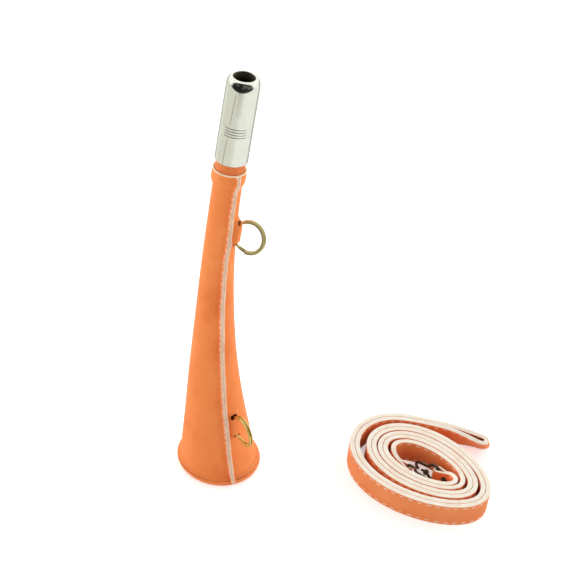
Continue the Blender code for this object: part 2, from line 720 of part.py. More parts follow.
def make_reed(parent):
    """Make the reed: a bored block, the trough it carries, its tongue and the wedge."""
    place = reed_frame()
    plug = TENON_RADIUS - TENON_WALL - CLEARANCE
    flange = TENON_TOP + CLEARANCE
    profile = [
        (flange + REED_FLANGE, TENON_RADIUS),
        (flange, TENON_RADIUS),
        (flange, plug),
        (TENON_TOP - REED_PLUG_DEPTH, plug),
        (TENON_TOP - REED_PLUG_DEPTH, REED_BORE_RADIUS),
        (flange + REED_FLANGE, REED_BORE_RADIUS),
    ]
    block = new_object("reed_block", turned_mesh("reed_block", profile, 24), "brass", parent)

    foot = CLEARANCE + REED_FLANGE + CLEARANCE
    cut = SHALLOT_CUT_SHARE * SHALLOT_RADIUS
    arc = [(-1.0 + 2.0 * k / 12.0) for k in range(13)]
    reach = math.pi - math.acos(cut / SHALLOT_RADIUS)
    outer = [(SHALLOT_RADIUS * math.sin(a * reach), -SHALLOT_RADIUS * math.cos(a * reach)) for a in arc]
    bore = SHALLOT_RADIUS - SHALLOT_WALL
    narrow = math.pi - math.acos(cut / bore)
    inner = [(bore * math.sin(a * narrow), -bore * math.cos(a * narrow)) for a in reversed(arc)]

    def build_shallot(work):
        top = foot + SHALLOT_LENGTH
        ends = [[work.verts.new(place(x, y, z)) for x, y in outer + inner] for z in (foot, top)]
        bridge(work, ends, closed=False)
        work.faces.new(ends[0])
        work.faces.new(ends[1])

    new_object("reed_shallot", mesh_from("reed_shallot", build_shallot), "brass", parent)

    face = cut + CLEARANCE
    low = (-TONGUE_WIDTH / 2.0, face, foot)
    high = (TONGUE_WIDTH / 2.0, face + TONGUE_THICKNESS, foot + SHALLOT_LENGTH - TONGUE_END_GAP)
    new_object("reed_tongue", box_mesh("reed_tongue", place, low, high), "brass", parent)

    wedge_face = high[1] + CLEARANCE

    def taper(side, front, up):
        share = (up - foot) / WEDGE_HEIGHT
        depth = WEDGE_THIN + (WEDGE_THICK - WEDGE_THIN) * share
        return place(side, wedge_face + front * depth, up)

    low = (-WEDGE_WIDTH / 2.0, 0.0, foot)
    high = (WEDGE_WIDTH / 2.0, 1.0, foot + WEDGE_HEIGHT)
    new_object("reed_wedge", box_mesh("reed_wedge", taper, low, high), "antique_brass", parent)

    post_face = wedge_face + WEDGE_THICK + CLEARANCE
    low = (-WEDGE_WIDTH / 2.0, post_face, REED_FLANGE / 2.0)
    high = (WEDGE_WIDTH / 2.0, post_face + REED_POST_THICKNESS, foot + WEDGE_HEIGHT * REED_POST_SHARE)
    combine(block, new_object("reed_post", box_mesh("reed_post", place, low, high)), "UNION")


def make_mouthpiece():
    """Make the mouthpiece's pieces on one empty, which slides out along the neck."""
    slide = new_pivot("mouthpiece_slide", LINE.middle(SHELL_BASE))
    make_mouthpiece_shell(slide)
    make_tenon(slide)
    make_reed(slide)


def oval(turns):
    """Return the doubled strap's middle points after so many turns from the oval's top."""
    turns = np.asarray(turns, dtype=float)
    width = np.where(turns < SLACK_PEAK, SLACK_BEFORE, SLACK_AFTER)
    slack = FIRST_TURN_SLACK * np.exp(-((turns - SLACK_PEAK) / width) ** 2)
    half_length = COIL_HALF_LENGTH - (2.0 * STRAP_SPACING + COIL_END_LOOSENESS) * turns + slack
    half_breadth = COIL_HALF_BREADTH - (2.0 * STRAP_SPACING + COIL_SIDE_LOOSENESS) * turns + slack
    angle = 2.0 * math.pi * turns
    along = -half_length * np.sin(angle)
    across = half_breadth * np.cos(angle) * (1.0 + COIL_EGG * np.sin(angle))
    c, s = math.cos(COIL_TURNED), math.sin(COIL_TURNED)
    x = COIL_CENTRE[0] + COIL_DRIFT[0] * turns + along * c - across * s
    y = COIL_CENTRE[1] + COIL_DRIFT[1] * turns + along * s + across * c
    return np.stack([x, y], axis=-1)


def heading(turns):
    """Return the oval's unit direction of travel after so many turns."""
    step = 1e-4
    travel = oval(np.asarray(turns) + step) - oval(np.asarray(turns) - step)
    return travel / np.linalg.norm(travel, axis=-1, keepdims=True)


def outward_of(direction):
    """Return the direction to the right of travel, which points out of the coil."""
    return np.stack([direction[..., 1], -direction[..., 0]], axis=-1)


def crowded(turns):
    """Return the turns moved a little towards the oval's tighter ends."""
    return turns + POINT_CROWDING * np.sin(4.0 * math.pi * turns) / (4.0 * math.pi)


def strand(last, side, aim):
    """Return one strand from the coil's start inwards; its straight end aims inwards."""
    count = round((last - COIL_START) * POINTS_PER_LOOP)
    turns = crowded(COIL_START + np.arange(count + 1) / POINTS_PER_LOOP)
    middle = oval(turns)
    steps = np.linalg.norm(np.diff(middle, axis=0), axis=1)
    travelled = np.concatenate([[0.0], np.cumsum(steps)])
    to_end = travelled[-1] - travelled
    inward = END_SHIFT * smooth_step(1.0 - to_end / END_SHIFT_LENGTH)
    offset = side * STRAP_SPACING / 2.0 - inward
    points = list(middle + outward_of(heading(turns)) * offset[:, None])
    onward = points[-1] - points[-2]
    angle = math.atan2(onward[1], onward[0])
    for turned, step in END_TURNS_AND_STEPS:
        aimed = angle + aim * turned
        points.append(points[-1] + np.array([math.cos(aimed), math.sin(aimed)]) * END_STRAIGHT * step)
    return points


def strap_route():
    """Return the strap's route from its outer strand's inner end round to the other end."""
    half = STRAP_SPACING / 2.0
    start = oval(crowded(COIL_START))
    back = -heading(crowded(COIL_START))
    side = outward_of(-back)
    lead = []
    for share in np.linspace(0.0, 1.0, 9)[1:]:
        turned = HAIRPIN_LEAD * share / HAIRPIN_LEAD_BEND
        bent = back * math.sin(turned) - side * (1.0 - math.cos(turned))
        out = side * math.cos(turned) + back * math.sin(turned)
        spread = half + (HAIRPIN_RADIUS - half) * smooth_step(2.0 * share - 1.0)
        lead.append((start + bent * HAIRPIN_LEAD_BEND, out, spread))
    lead_outer = [centre + out * spread for centre, out, spread in lead]
    lead_inner = [centre - out * spread for centre, out, spread in reversed(lead)]
    tip, out, spread = lead[-1]
    onward = np.array([out[1], -out[0]])
    bend = []
    for k in range(1, 8):
        angle = math.pi * k / 8.0
        bend.append(tip + (out * math.cos(angle) + onward * math.sin(angle)) * spread)
    outer = strand(OUTER_STRAND_TURNS, 1.0, OUTER_STRAND_AIM)
    inner = strand(INNER_STRAND_TURNS, -1.0, INNER_STRAND_AIM)
    return np.array(outer[::-1] + lead_outer + bend + lead_inner + inner)


def least_self_gap(route):
    """Return the least gap of the strap's faces to each other, measured on points."""
    fine = []
    for k in range(len(route) - 1):
        for share in np.linspace(0.0, 1.0, 4)[:-1]:
            fine.append(route[k] + (route[k + 1] - route[k]) * share)
    fine = np.array(fine + [route[-1]])
    length = np.concatenate([[0.0], np.cumsum(np.linalg.norm(np.diff(fine, axis=0), axis=1))])
    apart = np.linalg.norm(fine[:, None, :] - fine[None, :, :], axis=2)
    near_along = np.abs(length[:, None] - length[None, :]) < math.pi * HAIRPIN_RADIUS
    apart[near_along] = np.inf
    return float(apart.min() - STRAP_THICKNESS)


class StrapEnd:
    """One end of the strap: the hook's bar stands at its loop, and the hook points on."""

    def __init__(self, last, before):
        direction = (last - before) / np.linalg.norm(last - before)
        self.onward = Vector((direction[0], direction[1], 0.0))
        self.side = Vector((direction[1], -direction[0], 0.0))
        seat = EYE_OUTER_RADIUS - STRAP_LOOP_OVERLAP
        self.bar = Vector((last[0], last[1], STRAP_MIDDLE)) + self.onward * seat

    def place(self, onward, side, up):
        """Return the world point at distances onward, to the side and above mid-width."""
        return self.bar + self.onward * onward + self.side * side + Vector((0.0, 0.0, up))


def cylinder(name, place, centre, axis, radius, length, sides=16):
    """Make a round bar along one of a place function's three axes, about its centre."""
    def build(work):
        ends = []
        for share in (-0.5, 0.5):
            ring = []
            for k in range(sides):
                angle = 2.0 * math.pi * k / sides
                offset = [radius * math.cos(angle), radius * math.sin(angle)]
                offset.insert(axis, share * length)
                ring.append(work.verts.new(place(*(centre[i] + offset[i] for i in range(3)))))
            ends.append(ring)
        bridge(work, ends, closed=False)
        work.faces.new(ends[0])
        work.faces.new(ends[1])
    return new_object(name, mesh_from(name, build))


def make_strap():
    """Make the strap as one unbroken band, print its least gap, and return its ends."""
    route = strap_route()
    gap = least_self_gap(route)
    print(f"strap: least gap to itself {gap / MM:.2f} mm, length {route_length(route) / MM:.0f} mm")
    assert gap > LEAST_GAP_ALLOWED, "the strap's turns touch"
    travel = np.gradient(route, axis=0)
    travel /= np.linalg.norm(travel, axis=1)[:, None]
    side = outward_of(travel)
    steps = np.linalg.norm(np.diff(route, axis=0), axis=1)
    along = np.concatenate([[0.0], np.cumsum(steps)])
    from_end = np.minimum(along, along[-1] - along)
    ease = smooth_step(from_end / STRAP_END_TAPER)
    half_width = (STRAP_END_WIDTH + (STRAP_WIDTH - STRAP_END_WIDTH) * ease) / 2.0

    def build(work):
        rings = []
        for point, out, half in zip(route, side, half_width):
            section = []
            for across, up in ((-1, -1), (1, -1), (1, 1), (-1, 1)):
                x, y = point + out * across * STRAP_THICKNESS / 2.0
                section.append(work.verts.new((x, y, STRAP_MIDDLE + up * half)))
            rings.append(section)
        bridge(work, rings, closed=False)
        work.faces.new(rings[0])
        work.faces.new(rings[-1])

    band = new_object("strap_band", mesh_from("strap_band", build), "orange_leather")
    ends = {"a": StrapEnd(route[0], route[1]), "b": StrapEnd(route[-1], route[-2])}
    for label, end in ends.items():
        loop = cylinder(f"loop_{label}", end.place, (0, 0, 0), 2, EYE_OUTER_RADIUS, STRAP_END_WIDTH, 20)
        combine(band, loop, "UNION")
        eye = cylinder(f"eye_{label}", end.place, (0, 0, 0), 2, EYE_INNER_RADIUS, STRAP_END_WIDTH * 2.0, 20)
        combine(band, eye, "DIFFERENCE")
        at = (-RIVET_FROM_BAR, 0, 0)
        hole = cylinder(f"hole_{label}", end.place, at, 1, RIVET_RADIUS + CLEARANCE, STRAP_THICKNESS * 2.0, 12)
        combine(band, hole, "DIFFERENCE")
    return ends


def route_length(route):
    """Return the length of a route of points."""
    return float(np.linalg.norm(np.diff(route, axis=0), axis=1).sum())


def make_rivet(name, end):
    """Make the rivet that closes the strap's loop, with a head on each face."""
    reach = STRAP_THICKNESS + 2.0 * CLEARANCE
    at = (-RIVET_FROM_BAR, 0, 0)
    rivet = cylinder(name, end.place, at, 1, RIVET_RADIUS, reach + RIVET_HEAD_THICKNESS, 12)
    rivet.data.materials.append(finish_material(name, "antique_brass"))
    for side, label in ((1.0, "outer"), (-1.0, "inner")):
        middle = side * (reach + RIVET_HEAD_THICKNESS) / 2.0
        centre = (-RIVET_FROM_BAR, middle, 0)
        head = cylinder(f"{name}_{label}", end.place, centre, 1, RIVET_HEAD_RADIUS, RIVET_HEAD_THICKNESS, 16)
        combine(rivet, head, "UNION")


def arc_points(centre, radius, start, end, steps):
    """Return points round an arc in a hook's plane, angles in degrees."""
    points = []
    for k in range(steps + 1):
        angle = (start + (end - start) * k / steps) * DEG
        points.append((centre[0] + radius * math.cos(angle), centre[1] + radius * math.sin(angle)))
    return points


def hook_outline():
    """Return the hook wire's route as (onward, up) points, from the nose to the pivot."""
    corner = HOOK_CORNER_RADIUS
    nose = HOOK_BODY_LENGTH
    high = EYE_HALF_HEIGHT
    points = arc_points((nose, 0.0), HOOK_HALF_HEIGHT, -80.0, 90.0, 9)
    points += arc_points((HOOK_EYE_LENGTH + HOOK_SHOULDER_LENGTH, high), high - HOOK_HALF_HEIGHT, 270.0, 215.0, 3)
    points += arc_points((HOOK_EYE_LENGTH - corner, high - corner), corner, 40.0, 90.0, 3)
    points += arc_points((corner, high - corner), corner, 90.0, 180.0, 4)
    points += [(x, -y) for x, y in reversed(arc_points((corner, high - corner), corner, 90.0, 180.0, 4))]
    points += [(x, -y) for x, y in
               reversed(arc_points((HOOK_EYE_LENGTH - corner, high - corner), corner, 40.0, 90.0, 3))]
    points.append((GATE_PIVOT_FROM_BAR - HOOK_END_BEFORE_PIVOT, -HOOK_HALF_HEIGHT))
    return points


def make_hook(label, end):
    """Make one snap hook: its bent wire, its sprung gate and the gate's pin."""
    name = f"hook_{label}"
    curve = bpy.data.curves.new(f"{name}_wire", "CURVE")
    curve.dimensions = "3D"
    curve.bevel_depth = HOOK_WIRE_RADIUS
    curve.bevel_resolution = 1
    curve.use_fill_caps = True
    outline = hook_outline()
    spline = curve.splines.new("POLY")
    spline.points.add(len(outline) - 1)
    for point, (onward, up) in zip(spline.points, outline):
        point.co = (*end.place(onward, 0.0, up), 1.0)
    wire_guide = bpy.data.objects.new(f"{name}_guide", curve)
    bpy.context.collection.objects.link(wire_guide)
    bpy.context.view_layer.update()
    mesh = bpy.data.meshes.new_from_object(wire_guide.evaluated_get(bpy.context.evaluated_depsgraph_get()))
    bpy.data.objects.remove(wire_guide, do_unlink=True)
    mesh.materials.clear()
    mesh.shade_smooth()
    turn = new_pivot(f"{name}_pivot", end.bar)
    hook = new_object(name, mesh, "antique_brass", turn)

    pivot = (GATE_PIVOT_FROM_BAR, -HOOK_HALF_HEIGHT)
    near_side = (PIVOT_DISC_THICKNESS + CLEARANCE) / 2.0
    hole_radius = PIVOT_PIN_RADIUS + CLEARANCE
    disc_at = (pivot[0], -near_side, pivot[1])
    disc = cylinder(f"{name}_disc", end.place, disc_at, 1, PIVOT_DISC_RADIUS, PIVOT_DISC_THICKNESS)
    combine(hook, disc, "UNION")
    half_gap = CLEARANCE / 2.0
    cut = 3.0 * PIVOT_DISC_THICKNESS
    clear_at = (pivot[0], cut / 2.0 - half_gap, pivot[1])
    clear_radius = PIVOT_DISC_RADIUS + CLEARANCE
    clear = cylinder(f"{name}_clear", end.place, clear_at, 1, clear_radius, cut)
    combine(hook, clear, "DIFFERENCE")
    hole = cylinder(f"{name}_hole", end.place, disc_at, 1, hole_radius, cut, 12)
    combine(hook, hole, "DIFFERENCE")

    swing = new_pivot(f"gate_{label}_pivot", end.place(pivot[0], 0.0, pivot[1]), turn)
    gate_name = f"gate_{label}"
    gate_at = (pivot[0], near_side, pivot[1])
    root = cylinder(gate_name, end.place, gate_at, 1, PIVOT_DISC_RADIUS, PIVOT_DISC_THICKNESS)
    root.data.materials.append(finish_material(gate_name, "antique_brass"))
    attach(root, swing)
    start = pivot[0] + hole_radius + CLEARANCE
    reach = HOOK_BODY_LENGTH - GATE_END_BEFORE_NOSE - CLEARANCE
    side = near_side / 2.0
    bar_at = ((start + reach) / 2.0, side, pivot[1])
    bar = cylinder(f"{gate_name}_bar", end.place, bar_at, 0, GATE_RADIUS, reach - start, 12)
    combine(root, bar, "UNION")
    gate_clear_at = (pivot[0], half_gap - cut / 2.0, pivot[1])
    gate_clear = cylinder(f"{gate_name}_clear", end.place, gate_clear_at, 1, clear_radius, cut)
    combine(root, gate_clear, "DIFFERENCE")
    gate_hole = cylinder(f"{gate_name}_hole", end.place, gate_at, 1, hole_radius, cut, 12)
    combine(root, gate_hole, "DIFFERENCE")

    pin_name = f"gate_pin_{label}"
    pin_reach = 2.0 * near_side + PIVOT_DISC_THICKNESS + 2.0 * CLEARANCE
    pin_at = (pivot[0], 0.0, pivot[1])
    pin = cylinder(pin_name, end.place, pin_at, 1, PIVOT_PIN_RADIUS, pin_reach + PIN_HEAD_THICKNESS, 12)
    pin.data.materials.append(finish_material(pin_name, "antique_brass"))
    attach(pin, turn)
    for sign, word in ((1.0, "outer"), (-1.0, "inner")):
        centre = (pivot[0], sign * (pin_reach + PIN_HEAD_THICKNESS) / 2.0, pivot[1])
        head = cylinder(f"{pin_name}_{word}", end.place, centre, 1, PIN_HEAD_RADIUS, PIN_HEAD_THICKNESS, 12)
        combine(pin, head, "UNION")


def move_to_middle():
    """Move everything so that the origin is the set's middle on the floor; return the move."""
    bpy.context.view_layer.update()
    corners = []
    for item in bpy.data.objects:
        if item.type == "MESH" and not item.hide_render:
            corners += [item.matrix_world @ Vector(corner) for corner in item.bound_box]
    low = [min(corner[k] for corner in corners) for k in range(2)]
    high = [max(corner[k] for corner in corners) for k in range(2)]
    move = Vector((-(low[0] + high[0]) / 2.0, -(low[1] + high[1]) / 2.0, 0.0))
    for item in bpy.data.objects:
        if item.parent is None:
            item.location += move
    return move


def print_joint_places(move, ends):
    """Print the joint axes and the bell's place in world metres."""
    print("bell centre", *(round(value, 6) for value in move))
    for name, seat in SEATS.items():
        print(f"{name} ring pivot", *(round(value, 6) for value in seat.axis_point + move))
        print(f"{name} ring axis", *(round(value, 6) for value in seat.upward))
    print("mouthpiece axis", *(round(value, 6) for value in LINE.direction(SHELL_BASE)))
    print("mouthpiece travel", round(SHELL_BASE - TENON_FOOT + MOUTHPIECE_TRAVEL_SPARE, 6))
    for label, end in ends.items():
        pivot = end.place(GATE_PIVOT_FROM_BAR, 0.0, -HOOK_HALF_HEIGHT) + move
        print(f"gate {label} pivot", *(round(value, 6) for value in pivot))
        print(f"gate {label} axis", *(round(value, 6) for value in end.side))
        print(f"hook {label} bar", *(round(value, 6) for value in end.bar + move))


def main():
    """Build every piece of the horn and its strap."""
    clear_scene()
    make_bell_tube()
    make_rim_wire()
    make_leather_cover()
    make_neck_strip()
    make_neck_socket()
    make_mouthpiece()
    for name, seat in SEATS.items():
        make_lug(f"{name}_lug", seat)
        make_ring(f"{name}_ring", seat)
    ends = make_strap()
    for label, end in ends.items():
        make_rivet(f"strap_rivet_{label}", end)
        make_hook(label, end)
    print_joint_places(move_to_middle(), ends)


main()
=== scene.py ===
"""Leather-covered hunting horn standing on its bell, with its carrying strap wound beside it.

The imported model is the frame: every piece is built in its metres, where its solid stands, and
rides on one of its bodies. A place on the horn is given by its distance along the curved centre
line from the bell's rim, its radius, and its angle round the line from the front towards +X.
"""

import logging
import math
from dataclasses import dataclass, field
from enum import Enum
from typing import Any, Sequence

import bmesh
import bpy
import numpy as np
from mathutils import Matrix, Vector


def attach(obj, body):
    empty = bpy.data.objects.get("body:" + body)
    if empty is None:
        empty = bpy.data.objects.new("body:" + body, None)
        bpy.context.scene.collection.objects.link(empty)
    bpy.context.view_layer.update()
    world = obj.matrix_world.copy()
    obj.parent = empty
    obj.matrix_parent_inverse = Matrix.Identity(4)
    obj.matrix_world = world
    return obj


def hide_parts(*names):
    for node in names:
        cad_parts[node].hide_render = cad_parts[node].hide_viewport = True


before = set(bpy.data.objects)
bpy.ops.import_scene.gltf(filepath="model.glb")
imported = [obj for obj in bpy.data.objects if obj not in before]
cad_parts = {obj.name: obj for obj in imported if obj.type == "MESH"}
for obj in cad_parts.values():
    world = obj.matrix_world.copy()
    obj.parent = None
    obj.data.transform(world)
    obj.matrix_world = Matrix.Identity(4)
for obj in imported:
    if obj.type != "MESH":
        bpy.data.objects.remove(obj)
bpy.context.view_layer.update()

LOG = logging.getLogger("horn")
MM = 0.001
DEG = math.pi / 180.0
FULL_TURN = 2.0 * math.pi
UP = np.array([0.0, 0.0, 1.0])
RIGHT = np.array([1.0, 0.0, 0.0])
BELL_CENTRE = np.array([-0.064545, -0.007327, 0.0])
SMALL_TURN = 0.01
SHARP = 40.0 * DEG

# The usual colour curve: the end of its straight part, that part's slope, then offset and power
CURVE_KNEE, CURVE_SLOPE, CURVE_OFFSET, CURVE_POWER = 0.04045, 12.92, 0.055, 2.4

Colour = tuple[float, float, float, float]
Pair = tuple[float, float]
Triple = tuple[float, float, float]
Row = tuple[np.ndarray, np.ndarray]

NUMBER, VECTOR, COLOUR = "NodeSocketFloat", "NodeSocketVector", "NodeSocketColor"
SOCKET_KINDS = {float: NUMBER, tuple: COLOUR}


class Body(Enum):
    """The bodies that the pieces ride on."""

    HORN = "horn"
    MOUTHPIECE = "mouthpiece"
    UPPER_RING = "ring_upper"
    LOWER_RING = "ring_lower"


class Slot(Enum):
    """The material slots."""

    ORANGE_LEATHER = "orange_leather"
    DARK_LEATHER = "dark_leather"
    NICKEL = "plated_nickel"
    BRASS = "brass"
    ANTIQUE_BRASS = "antique_brass"
    CORK = "cork"


def tone(code: str) -> Colour:
    """Turn a six-figure colour code into a linear colour.

    Args:
        code: Red, green and blue, two hexadecimal figures each.

    Returns:
        The linear red, green, blue and a full alpha.
    """
    linear = []
    for start in (0, 2, 4):
        part = int(code[start:start + 2], 16) / 255.0
        curved = ((part + CURVE_OFFSET) / (1.0 + CURVE_OFFSET)) ** CURVE_POWER
        linear.append(part / CURVE_SLOPE if part <= CURVE_KNEE else curved)
    return (linear[0], linear[1], linear[2], 1.0)


def smooth_step(value: Any) -> np.ndarray:
    """Return the eased share, from 0 to 1, of a share that may lie outside that range."""
    share = np.clip(value, 0.0, 1.0)
    return share * share * (3.0 - 2.0 * share)


def hump(value: Any, middle: float, width: float) -> np.ndarray:
    """Return a share that is 1 at the middle and falls off smoothly within the width."""
    return np.exp(-((np.asarray(value) - middle) / width) ** 2)


def waves(at: np.ndarray, parts: Sequence[Triple]) -> np.ndarray:
    """Return the sum of waves, each given by its height, its turn for each unit and its start."""
    return sum(height * np.sin(at * turn + start) for height, turn, start in parts)


def unit(vectors: np.ndarray) -> np.ndarray:
    """Return vectors scaled to length one along their last axis."""
    return vectors / np.linalg.norm(vectors, axis=-1, keepdims=True)


def travelled(points: np.ndarray) -> np.ndarray:
    """Return each point's distance from the first, along a line of points."""
    return np.concatenate([[0.0], np.cumsum(np.linalg.norm(np.diff(points, axis=0), axis=1))])


def right_of(direction: np.ndarray) -> np.ndarray:
    """Return the level directions to the right of directions of travel."""
    return np.stack([direction[..., 1], -direction[..., 0]], axis=-1)


def raised(points: np.ndarray, height: Any = 0.0) -> np.ndarray:
    """Return flat points in space, at a height."""
    return np.concatenate([points, np.broadcast_to(height, len(points))[:, None]], axis=1)


def round_turn(count: int) -> np.ndarray:
    """Return evenly spread angles, once round."""
    return np.linspace(0.0, FULL_TURN, count + 1)[:-1]


def put(name: str, data: bpy.types.ID) -> bpy.types.Object:
    """Put an object with this mesh or camera in the scene."""
    item = bpy.data.objects.new(name, data)
    bpy.context.scene.collection.objects.link(item)
    return item


def shaped(holder: bpy.types.Object, *spent: bpy.types.Object) -> bpy.types.Mesh:
    """Return the mesh that an object's modifiers make, and remove it and the spent objects."""
    mesh = bpy.data.meshes.new_from_object(holder.evaluated_get(bpy.context.evaluated_depsgraph_get()))
    for item in (holder, *spent):
        bpy.data.objects.remove(item, do_unlink=True)
    return mesh


class Wiring:
    """Adds nodes to one tree and joins them."""

    def __init__(self, tree: bpy.types.NodeTree) -> None:
        """Keep the tree that the nodes go into."""
        self.tree = tree

    def feed(self, node: bpy.types.Node, inputs: dict[Any, Any]) -> None:
        """Fill a node's inputs.

        Args:
            node: The node.
            inputs: Input name or number to a value, or to the socket that feeds it.
        """
        for key, value in inputs.items():
            if isinstance(value, bpy.types.NodeSocket):
                self.tree.links.new(value, node.inputs[key])
            else:
                node.inputs[key].default_value = value

    def add(self, kind: str, inputs: dict[Any, Any] | None = None, **settings: Any) -> Any:
        """Add one node.

        Args:
            kind: The node's type name.
            inputs: Input name or number to a value, or to the socket that feeds it.
            settings: The node's own settings.

        Returns:
            The new node.
        """
        node = self.tree.nodes.new(kind)
        for name, value in settings.items():
            setattr(node, name, value)
        self.feed(node, inputs or {})
        return node

    def math(self, operation: str, *values: Any, clamp: bool = False) -> Any:
        """Add a Math node on values or sockets and return its output."""
        inputs = dict(enumerate(values))
        return self.add("ShaderNodeMath", inputs, operation=operation, use_clamp=clamp).outputs[0]

    def vector(self, operation: str, inputs: dict[Any, Any], output: str = "Vector") -> Any:
        """Add a Vector Math node and return one of its outputs."""
        return self.add("ShaderNodeVectorMath", inputs, operation=operation).outputs[output]

    def towards(self, vector: Any, direction: Triple) -> Any:
        """Return how far a vector goes in a fixed direction."""
        return self.vector("DOT_PRODUCT", {0: vector, 1: direction}, "Value")

    def spread(self, value: Any, low: float, high: float, to: Pair = (0.0, 1.0)) -> Any:
        """Add a smooth Map Range from low..high and return its output."""
        inputs = {"Value": value, "From Min": low, "From Max": high, "To Min": to[0], "To Max": to[1]}
        return self.add("ShaderNodeMapRange", inputs, interpolation_type="SMOOTHSTEP").outputs[0]

    def blend(self, share: Any, first: Any, second: Any) -> Any:
        """Add a colour Mix node and return its output."""
        return self.add("ShaderNodeMix", {0: share, 6: first, 7: second}, data_type="RGBA").outputs[2]

    def mix(self, share: Any, first: Any, second: Any) -> Any:
        """Add a Mix node for numbers and return its output."""
        return self.add("ShaderNodeMix", {0: share, 2: first, 3: second}, data_type="FLOAT").outputs[0]

    def noise(self, vector: Any, scale: Any, detail: float = 3.0, roughness: float = 0.5) -> Any:
        """Add a Noise Texture and return its value."""
        inputs = {"Vector": vector, "Scale": scale, "Detail": detail, "Roughness": roughness}
        return self.add("ShaderNodeTexNoise", inputs).outputs[0]

    def bump(self, height: Any, strength: float, distance: float) -> Any:
        """Add a Bump node and return its normal."""
        inputs = {"Height": height, "Strength": strength, "Distance": distance}
        return self.add("ShaderNodeBump", inputs).outputs[0]

    def attribute(self, name: str) -> Any:
        """Return the value socket of a piece's own attribute."""
        return self.add("ShaderNodeAttribute", attribute_name=name, attribute_type="GEOMETRY").outputs["Fac"]

    def group(self, tree: bpy.types.NodeTree, inputs: dict[str, Any]) -> Any:
        """Add a group node and return its outputs."""
        return self.add("ShaderNodeGroup", inputs, node_tree=tree).outputs


def new_group(name: str, kind: str, inputs: dict[str, Any], outputs: dict[str, str]) -> tuple[Wiring, Any, Any]:
    """Start a node group with named sockets.

    Args:
        name: The group's name.
        kind: The tree's type name.
        inputs: Socket name to its value, or to its socket type where it has no value.
        outputs: Socket name to its socket type.

    Returns:
        The wiring, the input node's outputs and the output node.
    """
    tree = bpy.data.node_groups.new(name, kind)
    for label, value in inputs.items():
        bare = isinstance(value, str)
        socket_type = value if bare else SOCKET_KINDS[type(value)]
        socket = tree.interface.new_socket(label, in_out="INPUT", socket_type=socket_type)
        if not bare:
            socket.default_value = value
    for label, socket_type in outputs.items():
        tree.interface.new_socket(label, in_out="OUTPUT", socket_type=socket_type)
    wiring = Wiring(tree)
    return wiring, wiring.add("NodeGroupInput").outputs, wiring.add("NodeGroupOutput")


def new_material(name: str) -> tuple[bpy.types.Material, Wiring, Any]:
    """Start a material and return it, its wiring and the place on the object."""
    material = bpy.data.materials.new(name)
    material.use_nodes = True
    wiring = Wiring(material.node_tree)
    return material, wiring, wiring.add("ShaderNodeTexCoord").outputs["Object"]


